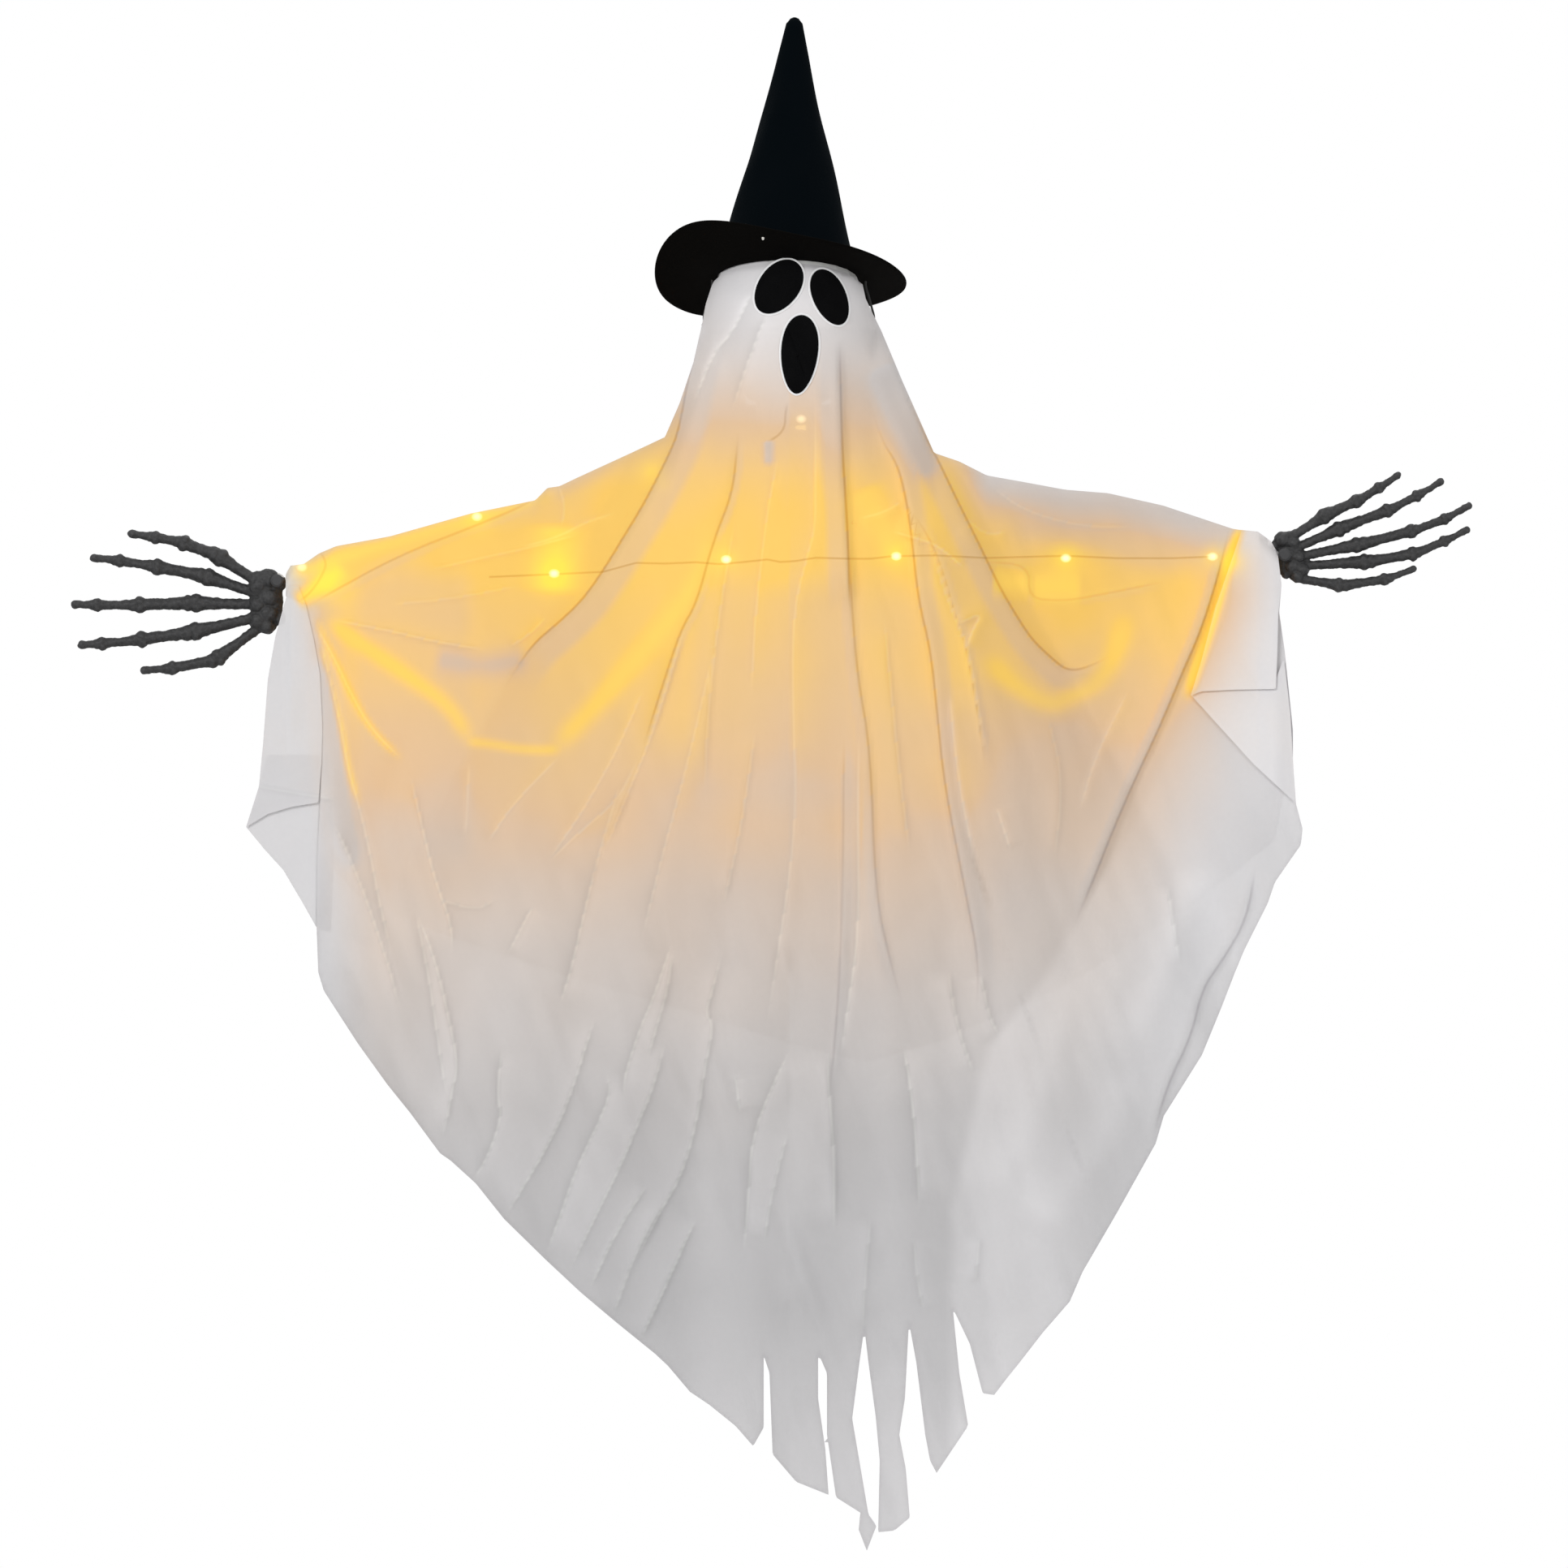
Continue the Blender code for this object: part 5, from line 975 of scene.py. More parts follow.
def bone_material(settings):
    """Moulded black plastic with a dusty grey rub on its raised places."""
    made, tree, shader = new_material("rubbed_black_bone")
    grain = use_group(tree, "mottled_grain", Coarse=120.0, Fine=700.0, Balance=0.5)["Grain"]
    wear = use_group(tree, "rubbed_edges", Amount=2.2, Breakup=420.0)[0]
    mask = sum_of(tree, "ADD", wear, sum_of(tree, "MULTIPLY", grain, 0.55), clamp=True)
    feed(tree, shader, {"Base Color": mix_colour(tree, mask, settings.bone_colour, settings.bone_rub),
                        "Roughness": 0.62, "Normal": bump_from(tree, grain, 0.6, 0.0007)})
    return made


def plain_material(name, colour, shade, roughness, metallic=0.0, coarse=40.0, fine=600.0, height=0.0001):
    """A moulded or drawn finish with fine mottling, made once under its name."""
    if name in bpy.data.materials:
        return bpy.data.materials[name]
    made, tree, shader = new_material(name)
    grain = use_group(tree, "mottled_grain", Coarse=coarse, Fine=fine, Balance=0.5)["Grain"]
    feed(tree, shader, {
        "Base Color": mix_colour(tree, grain, shade, colour), "Metallic": metallic,
        "Roughness": ranged(tree, grain, 0.0, 1.0, roughness - 0.08, roughness + 0.08),
        "Normal": bump_from(tree, grain, 0.3, height)})
    return made


# Objects


def add_object(name, data):
    """A new object for some data, linked into the scene."""
    made = bpy.data.objects.new(name, data)
    bpy.context.scene.collection.objects.link(made)
    return made


def finish(obj, made):
    """Give an object one material and nothing else."""
    obj.data.materials.clear()
    obj.data.materials.append(made)


def deselect():
    bpy.ops.object.select_all(action="DESELECT")


def take(obj):
    """Make an object the only selected and active one."""
    deselect()
    obj.select_set(True)
    bpy.context.view_layer.objects.active = obj


def join_up(name, pieces):
    """Join pieces into one object whose mesh holds its place."""
    deselect()
    for piece in pieces:
        piece.select_set(True)
    bpy.context.view_layer.objects.active = pieces[0]
    if len(pieces) > 1:
        bpy.ops.object.join()
    joined = bpy.context.view_layer.objects.active
    joined.name = joined.data.name = name
    bpy.ops.object.transform_apply(location=True, rotation=True, scale=True)
    return joined


@contextmanager
def editing():
    """Edit mode with the whole active mesh selected, and back again."""
    bpy.ops.object.mode_set(mode="EDIT")
    bpy.ops.mesh.select_all(action="SELECT")
    yield
    bpy.ops.object.mode_set(mode="OBJECT")


def add_modifier(obj, name, kind, **values):
    made = obj.modifiers.new(name, kind)
    for key, value in values.items():
        setattr(made, key, value)


def apply_modifiers(obj):
    take(obj)
    for step in list(obj.modifiers):
        bpy.ops.object.modifier_apply(modifier=step.name)


# Share of a felt's thickness that its edges are rounded by, and the angle from which they are
EDGE_ROUND = 0.3
EDGE_ANGLE = math.radians(50)


def make_thick(obj, thickness, offset, segments):
    """Turn a surface into a felt wall with softly rounded edges."""
    add_modifier(obj, "thickness", "SOLIDIFY", thickness=thickness, offset=offset)
    add_modifier(obj, "soft_edge", "BEVEL", width=thickness * EDGE_ROUND, segments=segments,
                 angle_limit=EDGE_ANGLE)
    apply_modifiers(obj)
    obj.data.shade_smooth()


def settings_of(context):
    return context.scene.hanging_ghost


# Sizes and colours that a user may change


def colour_setting(name, about, default):
    return bpy.props.FloatVectorProperty(name=name, description=about, default=default, subtype="COLOR")


def share_setting(name, about, default, most):
    return bpy.props.FloatProperty(name=name, description=about, default=default, min=0.0, max=most,
                                   subtype="FACTOR")


def length_setting(name, about, default, least, most):
    return bpy.props.FloatProperty(name=name, description=about, default=default, min=least, max=most,
                                   unit="LENGTH")


class GhostSettings(bpy.types.PropertyGroup):
    """Sizes and colours of the hanging ghost."""

    cloth_spacing: length_setting("Cloth Net", "Spacing of the robe's net of points", 0.0028, 0.002, 0.02)
    fold_depth: share_setting("Fold Depth", "How strongly the robe's folds stand out", 1.0, 2.0)
    crumple: share_setting("Crumple", "How strongly the robe's small creases stand out", 1.0, 3.0)
    front_cover: share_setting("Front Cover", "How much the front sheet hides", 0.90, 1.0)
    back_cover: share_setting("Back Cover", "How much the back sheet hides", 0.80, 1.0)
    cloth_colour: colour_setting("Cloth", "Colour of the lit voile", (1.0, 0.985, 1.0))
    cloth_shade: colour_setting("Cloth Shade", "Colour of the voile's denser patches", (0.90, 0.885, 0.905))
    blush_colour: colour_setting("Blush", "Colour of the voile at the rim of the lamplight", (0.80, 0.56, 0.38))
    glow_colour: colour_setting("Glow", "Colour of the voile lit from inside", (0.98, 0.60, 0.14))
    spark_colour: colour_setting("Glare", "Colour of the voile close to a lamp", (1.0, 0.68, 0.07))
    cone_felt: colour_setting("Cone Felt", "Colour of the hat's cone", (0.0008, 0.0022, 0.0034))
    brim_felt: colour_setting("Brim Felt", "Colour of the brim", (0.0020, 0.0018, 0.0015))
    patch_felt: colour_setting("Face Felt", "Colour of the eyes and mouth", (0.0022, 0.0022, 0.0024))
    bone_colour: colour_setting("Bone", "Colour of the moulded hands", (0.0035, 0.0035, 0.0038))
    bone_rub: colour_setting("Bone Rub", "Colour of the rub on the hands' raised places", (0.042, 0.042, 0.044))
    patch_border: length_setting("Patch Border", "Width of the pale border round each face patch",
                                 0.0016, 0.0, 0.006)
    bone_net: length_setting("Bone Net", "Spacing of the net that wraps the hands' bones",
                             0.0008, 0.0005, 0.004)


def nodes_named(start):
    """The frame's visible nodes whose names start so."""
    return [node for name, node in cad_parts.items() if name.startswith(start)]


def stand_for(piece, body, node):
    """Let a piece ride on a body in the place of its node."""
    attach(piece, body)
    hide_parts(node)


class HangingGhostStage(bpy.types.Operator):
    """Camera, lamps, floor and the white surroundings"""

    bl_idname = "scene.hanging_ghost_stage"
    bl_label = "Stage"

    def execute(self, context):
        scene = context.scene
        scene.view_settings.view_transform = "Standard"
        view = bpy.data.cameras.new("photo_view")
        view.lens = CAMERA_LENS
        view.clip_end = 80.0
        scene.camera = add_object("photo_view", view)
        scene.camera.location = CAMERA_PLACE
        scene.camera.rotation_euler = (math.radians(90.0), 0.0, 0.0)
        for name, place, size, energy in LAMPS:
            light = bpy.data.lights.new(name, "AREA")
            light.size = size
            light.energy = energy
            holder = add_object(name, light)
            holder.location = place
            holder.rotation_euler = (LAMP_AIM - Vector(place)).to_track_quat("-Z", "Y").to_euler()
        world = scene.world or bpy.data.worlds.new("surroundings")
        scene.world = world
        world.use_nodes = True
        tree = world.node_tree
        tree.nodes.clear()
        lit, seen = (add_node(tree, "ShaderNodeBackground", in_Color=(*WHITE, 1.0), in_Strength=strength)
                     for strength in (WORLD_LIGHT, 1.0))
        self.through_rays(tree, lit, seen, add_node(tree, "ShaderNodeOutputWorld"))
        self.add_floor(context)
        return {"FINISHED"}

    @staticmethod
    def through_rays(tree, lit, seen, output):
        """Show the second shader to the camera and in gloss and clear pieces, the first to all else."""
        rays = add_node(tree, "ShaderNodeLightPath")
        seen_by = sum_of(tree, "MAXIMUM", rays.outputs["Is Camera Ray"], rays.outputs["Is Glossy Ray"])
        seen_by = sum_of(tree, "MAXIMUM", seen_by, rays.outputs["Is Transmission Ray"])
        blend = add_node(tree, "ShaderNodeMixShader")
        feed(tree, blend, {0: seen_by, 1: lit.outputs[0], 2: seen.outputs[0]})
        feed(tree, output, {"Surface": blend.outputs[0]})

    @staticmethod
    def add_floor(context):
        """A plain pale floor well under the hem."""
        deselect()
        bpy.ops.mesh.primitive_plane_add(size=4.0, location=(0.0, 0.0, FLOOR_HEIGHT))
        floor = context.active_object
        floor.name = "floor"
        made, tree, shader = new_material("pale_floor")
        feed(tree, shader, {"Base Color": (*WHITE, 1.0), "Roughness": 0.9})
        finish(floor, made)


# Lamps: name, place, size and power, all turned to one aim, and how bright the surroundings are
LAMPS = (
    ("key_lamp", (-1.8, -3.2, 1.6), 1.6, 62.0),
    ("fill_lamp", (2.6, -3.0, 0.2), 2.0, 26.0),
    ("top_lamp", (0.3, 0.8, 2.4), 1.6, 16.0),
)
LAMP_AIM = Vector((0.0, 0.0, -0.35))
WORLD_LIGHT = 0.42


def smooth_route(places, steps):
    """Points in metres of a smooth curve through a cord's own points."""
    anchors = [Vector(place) * MM for place in places]
    padded = [2 * anchors[0] - anchors[1], *anchors, 2 * anchors[-1] - anchors[-2]]
    route = []
    for first, second, third, fourth in zip(padded, padded[1:], padded[2:], padded[3:]):
        for step in range(steps):
            t = step / steps
            route.append(0.5 * (2 * second + (third - first) * t
                                + (2 * first - 5 * second + 4 * third - fourth) * t * t
                                + (3 * second - first - 3 * third + fourth) * t * t * t))
    route.append(anchors[-1])
    return route


def cord_curve(name, route, radius, made):
    """A round cord on one open spline, with closed ends."""
    curve = bpy.data.curves.new(name, "CURVE")
    curve.dimensions = "3D"
    curve.bevel_depth = radius
    curve.bevel_resolution = 3
    curve.use_fill_caps = True
    spline = curve.splines.new("POLY")
    spline.points.add(len(route) - 1)
    for slot, place in zip(spline.points, route):
        slot.co = (*place, 1.0)
    cord = add_object(name, curve)
    finish(cord, made)
    return cord


def twisted_route(route, radius, turns_per_metre, phase):
    """One strand's points, wound round a route."""
    strand = []
    travelled = 0.0
    for index, place in enumerate(route):
        ahead = route[min(index + 1, len(route) - 1)] - route[max(index - 1, 0)]
        travelled += (place - route[index - 1]).length if index else 0.0
        turn = ahead.to_track_quat("Z", "Y").to_matrix()
        angle = math.tau * turns_per_metre * travelled + phase
        strand.append(place + turn @ Vector((math.cos(angle), math.sin(angle), 0.0)) * radius)
    return strand


def even_points(route, spacing):
    """The same route with points a steady distance apart."""
    lengths = [(b - a).length for a, b in zip(route, route[1:])]
    marks = np.concatenate(([0.0], np.cumsum(lengths)))
    wanted = np.linspace(0.0, marks[-1], max(3, int(marks[-1] / spacing) + 1))
    axes = [np.interp(wanted, marks, [place[axis] for place in route]) for axis in range(3)]
    return [Vector(place) for place in zip(*axes)]


class HangingGhostCords(bpy.types.Operator):
    """The hat elastic, the battery lead and the light string's wire"""

    bl_idname = "object.hanging_ghost_cords"
    bl_label = "Cords"

    def execute(self, context):
        for name, body, node, slot, places, steps, radius, material, length, lay in CORDS:
            route = smooth_route(places, steps)
            cord = cord_curve(name, route, radius, material())
            stand_for(cord, body, node)
        self.make_bar_wire()
        return {"FINISHED"}

    @staticmethod
    def make_bar_wire():
        """The light string's run that is tied along the bar, of two strands wound round each other."""
        along_bar = even_points(smooth_route(BAR_ROUTE_MM, 6), 0.0012)
        thin = WIRE_RADIUS * 0.5
        strands = []
        for number in range(2):
            route = twisted_route(along_bar, thin, 130, number * math.pi)
            strand = cord_curve(f"bar_strand_{number}", route, thin, wire_material())
            strand.data.bevel_resolution = 1
            take(strand)
            bpy.ops.object.convert(target="MESH")
            strands.append(strand)
        stand_for(join_up("bar_wire", strands), "ghost", "light_wire_bar")


def woven_cord_material():
    return plain_material("covered_elastic", (0.045,) * 3, (0.015,) * 3, 0.8, 0.0, 300.0, 2500.0, 0.0002)


def wire_material():
    return plain_material("lacquered_wire", (0.42, 0.25, 0.13), (0.22, 0.13, 0.07), 0.42, 0.6, 90.0, 1200.0)


# Covered elastic from barb to barb round the back of the head, the thin lead from the battery case to the light
# string, and the string's free run over one shoulder. Each has its name, body, node and slot, its route and
# how many steps go between two points, its radius and finish, its length and its lay.
CORDS = (
    ("hat_elastic_cord", "hat", "hat_elastic", "elastic", ELASTIC_ROUTE_MM, 4,
     ELASTIC_RADIUS, woven_cord_material, ELASTIC_LENGTH, "taut"),
    ("battery_lead_cord", "ghost", "battery_lead", "elastic", LEAD_ROUTE_MM, 5,
     WIRE_RADIUS, woven_cord_material, LEAD_LENGTH, "hanging"),
    ("shoulder_wire", "ghost", "light_wire_shoulder", "copper_wire", SHOULDER_ROUTE_MM, 5,
     WIRE_RADIUS, wire_material, SHOULDER_LENGTH, "taut"),
)


class HangingGhostRobe(bpy.types.Operator):
    """The robe: front and back sheets and the folded sleeve ends"""

    bl_idname = "object.hanging_ghost_robe"
    bl_label = "Robe"

    def execute(self, context):
        settings = settings_of(context)
        front_cloth = cloth_material("front_voile", settings, settings.front_cover, 1.0)
        back_cloth = cloth_material("back_voile", settings, settings.back_cover, 1.0)
        sleeve_cloth = cloth_material("sleeve_voile", settings, SLEEVE_COVER, SLEEVE_WARMTH)
        spacing = settings.cloth_spacing
        front, area = cut_sheet("robe_front_sheet", FRONT_OUTLINE_MM, spacing, front_depth, settings)
        self.hang(front, front_cloth, area, FRONT_CUT, "robe_front")
        back, area = cut_sheet("robe_back_sheet", BACK_OUTLINE_MM, spacing * BACK_NET, back_depth, settings,
                               holes=[BACK_SLIT], outward=1)
        self.hang(back, back_cloth, area, BACK_CUT, "robe_back")
        for name, outline, lift in SLEEVE_PIECES:
            piece, area = cut_sheet(name, outline, spacing * SLEEVE_NET, front_depth, settings, lift=lift,
                                    paler=1.0)
            self.hang(piece, sleeve_cloth, area, None, None)
        return {"FINISHED"}

    @staticmethod
    def hang(sheet, made, area, flat, node):
        """Finish a sheet, tuck it under the hat and hide its node where it has one, and ride it on the ghost.
        """
        if node:
            tuck_under_hat(sheet)
        finish(sheet, made)
        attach(sheet, "ghost")
        if node:
            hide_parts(node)


SLEEVE_COVER = 0.90
SLEEVE_WARMTH = 0.8
# Cloth that each layer is cut from: width and height
FRONT_CUT = (1.30, 1.16)
BACK_CUT = (1.30, 1.05)
# Spacing of the nets as shares of the front sheet's
BACK_NET = 1.35
SLEEVE_NET = 0.7
# The slit that gives way to the battery case: left, right, foot and head
BACK_SLIT = (-0.033, 0.033, -0.056, 0.000)
# How far the hat's foot stands off the cloth, and how far below it the cloth starts and ends to be drawn in
HAT_PLAY = 0.0010
HAT_TUCK = 0.004
HAT_TUCK_END = 0.012


def tuck_under_hat(sheet):
    """Press the cloth on the crown in, so that it stays inside the foot of the hat."""
    into_hat = HAT_TURN.inverted()
    for vert in sheet.data.vertices:
        place = into_hat @ vert.co
        share = max(place.z, 0.0) / HAT_HEIGHT
        middle = mix(*CONE_LEAN, share)
        limit = mix(HAT_OPENING, HAT_TIP, share) - HAT_PLAY + max(0.0, -HAT_TUCK - place.z)
        reach = math.hypot(place.x - middle, place.y)
        if place.z > -HAT_TUCK_END and reach > limit:
            pull = limit / reach
            vert.co = HAT_TURN @ Vector((middle + (place.x - middle) * pull, place.y * pull, place.z))


class HangingGhostFace(bpy.types.Operator):
    """Felt eyes and mouth, each on a pale border"""

    bl_idname = "object.hanging_ghost_face"
    bl_label = "Face"

    def execute(self, context):
        settings = settings_of(context)
        felt = felt_material("face_felt", settings.patch_felt, (0.015, 0.015, 0.016))
        border = plain_material("patch_border_cloth", WHITE, (0.96, 0.96, 0.97), 0.85)
        for node, values in FACE_PATCHES:
            under = self.patch(settings, f"{node}_border", values, settings.patch_border, *BORDER_LAYER)
            finish(under, border)
            over = self.patch(settings, f"{node}_felt", values, 0.0, *FELT_LAYER)
            finish(over, felt)
            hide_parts(node)
            for piece, grow in ((under, settings.patch_border), (over, 0.0)):
                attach(piece, "ghost")
        return {"FINISHED"}

    @staticmethod
    def patch(settings, name, values, grow, lift, thick):
        """An egg-shaped patch that lies on the front sheet."""
        across, up, wide, high, lean, taper = values
        deselect()
        bpy.ops.mesh.primitive_circle_add(vertices=96, radius=1.0, fill_type="NGON")
        piece = bpy.context.active_object
        with editing():
            for step in PATCH_RINGS:
                bpy.ops.mesh.inset(thickness=step)
            bpy.ops.mesh.poke()
        piece.name = piece.data.name = name
        rows = np.array([tuple(vert.co) for vert in piece.data.vertices])
        egg_x = rows[:, 0] * (1.0 + taper * rows[:, 1]) * (wide * MM + grow)
        egg_z = rows[:, 1] * (high * MM + grow)
        turn = math.radians(lean)
        flat = np.column_stack((across * MM + egg_x * math.cos(turn) - egg_z * math.sin(turn),
                                up * MM + egg_x * math.sin(turn) + egg_z * math.cos(turn)))
        depth = front_depth(flat, settings)[0] - lift
        for vert, place, y in zip(piece.data.vertices, flat, depth):
            vert.co = (place[0], y, place[1])
        make_thick(piece, thick, 1.0 if piece.data.polygons[-1].normal.y < 0 else -1.0, 2)
        return piece


# Steps from a patch's edge to its middle, as shares of its radius
PATCH_RINGS = (0.035, 0.15, 0.15, 0.15, 0.15, 0.15, 0.15)
# How far each layer of a patch lies off the sheet, and its thickness
BORDER_LAYER = (0.0004, 0.0003)
FELT_LAYER = (0.0008, 0.0006)
# Face patches: across, up, half width, half height, lean in degrees and how much the foot narrows
FACE_PATCHES = (
    ("eye_left", (-8.2, 33.2, 15.9, 24.0, -37.0, 0.06)),
    ("eye_right", (32.2, 25.2, 13.0, 23.4, 24.0, 0.05)),
    ("mouth", (8.2, -20.2, 14.4, 31.2, -4.5, 0.15)),
)


class HangingGhostHat(bpy.types.Operator):
    """The felt witch hat: cone, brim and the knot of its thread"""

    bl_idname = "object.hanging_ghost_hat"
    bl_label = "Hat"

    def execute(self, context):
        settings = settings_of(context)
        cone_felt = felt_material("cone_felt", settings.cone_felt, (0.0030, 0.0042, 0.0055))
        brim_felt = felt_material("brim_felt", settings.brim_felt, (0.0045, 0.0040, 0.0036))
        cone = self.make_cone()
        finish(cone, cone_felt)
        self.seat(cone, "hat_cone")
        brim = self.make_brim()
        finish(brim, brim_felt)
        self.seat(brim, "hat_brim")
        knot = self.make_knot()
        finish(knot, plain_material("knotted_thread", (0.85, 0.83, 0.78), (0.60, 0.58, 0.54), 0.7))
        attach(knot, "hat")
        return {"FINISHED"}

    @staticmethod
    def rings(name, radius, profile, sides=96):
        """A surface drawn up from a circle, ring by ring, by extruding and scaling its open edge."""
        deselect()
        bpy.ops.mesh.primitive_circle_add(vertices=sides, radius=radius, location=(0, 0, 0))
        piece = bpy.context.active_object
        piece.name = piece.data.name = name
        before_radius, before_height = radius, 0.0
        with editing():
            for ring, height in profile:
                step = (0, 0, height - before_height)
                bpy.ops.mesh.extrude_edges_move(TRANSFORM_OT_translate={"value": step})
                share = ring / before_radius
                bpy.ops.transform.resize(value=(share, share, 1.0), center_override=(0, 0, height))
                before_radius, before_height = ring, height
        return piece

    def make_cone(self):
        """A tall felt cone with a blunt tip, a little dented by handling."""
        profile = []
        for share in (step / CONE_STEPS for step in range(1, CONE_STEPS)):
            radius = mix(HAT_OPENING + HAT_WALL, HAT_TIP, share) - math.sin(math.pi * share) * HAT_WALL
            profile.append((radius, HAT_HEIGHT * share))
        profile += [(HAT_TIP * wide, HAT_HEIGHT * high) for wide, high in CONE_TIP]
        cone = self.rings("hat_cone_felt", HAT_OPENING + HAT_WALL, profile)
        for vert in cone.data.vertices:
            turn = math.atan2(vert.co.y, vert.co.x)
            share = vert.co.z / HAT_HEIGHT
            dent = sum(deep * math.sin(round_it * turn + up_it * share) for deep, round_it, up_it in CONE_DENTS)
            dent *= math.sin(math.pi * min(share * 1.2, 1.0))
            swell = 1.0 + dent / max(HAT_OPENING * (1 - share), 0.012)
            vert.co.x *= swell
            vert.co.y *= swell
            vert.co.x += mix(*CONE_LEAN, share)
        self.thicken(cone, -1.0)
        return cone

    def make_brim(self):
        """A wide felt brim, curled up most at its front left."""
        radii = [mix(HAT_OPENING, BRIM_RADIUS, step / BRIM_STEPS) for step in range(1, BRIM_STEPS + 1)]
        brim = self.rings("hat_brim_felt", HAT_OPENING, [(radius, 0.0) for radius in radii], 128)
        for vert in brim.data.vertices:
            radius, turn = math.hypot(vert.co.x, vert.co.y), math.atan2(vert.co.y, vert.co.x)
            out = min(1.0, max(0.0, (radius - HAT_OPENING) / (BRIM_RADIUS - HAT_OPENING))) ** 1.3
            around = math.degrees(turn) + np.arange(-24, 25, 4)
            wave = np.interp(around, *BRIM_WAVE.T, period=360.0)
            vert.co.z = out * float(np.mean(wave)) * MM - HAT_WALL - BRIM_DROP
            vert.co.x += (1.0 - out) * CONE_LEAN[0] - out * BRIM_SHIFT
        self.thicken(brim, 1.0)
        return brim

    @staticmethod
    def thicken(piece, offset):
        """Close the surface, turn it outwards and give it the felt's thickness."""
        take(piece)
        with editing():
            bpy.ops.mesh.remove_doubles(threshold=0.00001)
            bpy.ops.mesh.normals_make_consistent(inside=False)
        make_thick(piece, HAT_WALL, offset, 3)

    @staticmethod
    def make_knot():
        """The pale knot of the thread that holds the brim to the cone."""
        deselect()
        place = HAT_TURN @ (Vector(BRIM_KNOT_MM) * MM)
        bpy.ops.mesh.primitive_uv_sphere_add(segments=16, ring_count=10, radius=0.0011, location=place,
                                             scale=(1.0, 0.6, 1.5))
        knot = join_up("brim_knot", [bpy.context.active_object])
        knot.data.shade_smooth()
        return knot

    @staticmethod
    def seat(piece, node):
        """Set the hat's piece at its lean on the head and let it stand for its node."""
        piece.data.transform(HAT_TURN)
        stand_for(piece, "hat", node)


HAT_OPENING = 0.0548
HAT_WALL = 0.002
HAT_HEIGHT = 0.2130
# Rings of the cone and the brim, the blunt tip as shares of its radius and of the height, and the cone's
# dents: depth, and how many times each goes round it and up it
CONE_STEPS = 40
BRIM_STEPS = 14
CONE_TIP = ((0.92, 0.984), (0.66, 0.994), (0.30, 0.999), (0.02, 1.0))
CONE_DENTS = ((0.0011, 2, 5.0), (0.0006, 5, -11.0))
# How far the cone's foot and its tip stand aside, and where the knot is on the brim
CONE_LEAN = (-0.0025, 0.0045)
BRIM_KNOT_MM = (-20.5, -87.5, 4.6)
HAT_TIP = 0.0055
BRIM_RADIUS = 0.100
BRIM_SHIFT = 0.0065
BRIM_DROP = 0.0003
# How far the rim of the brim is bent up all round it: angle in degrees, counted from the right, and height
BRIM_WAVE = np.array((
    (-165, 14), (-150, 25), (-136, 29), (-119, 25), (-100, 12), (-87, 6), (-61, 3), (-40, -1), (-28, -4),
    (0, -5), (40, -1), (53, -1), (90, -4), (131, -8), (157, -10), (165, -4), (180, 3)
))
HAT_SEAT = HEAD_CENTRE + Vector((0.0, 0.0089, 0.0380))
HAT_TURN = Matrix.Translation(HAT_SEAT) @ Matrix.Rotation(math.radians(-15.0), 4, "X")


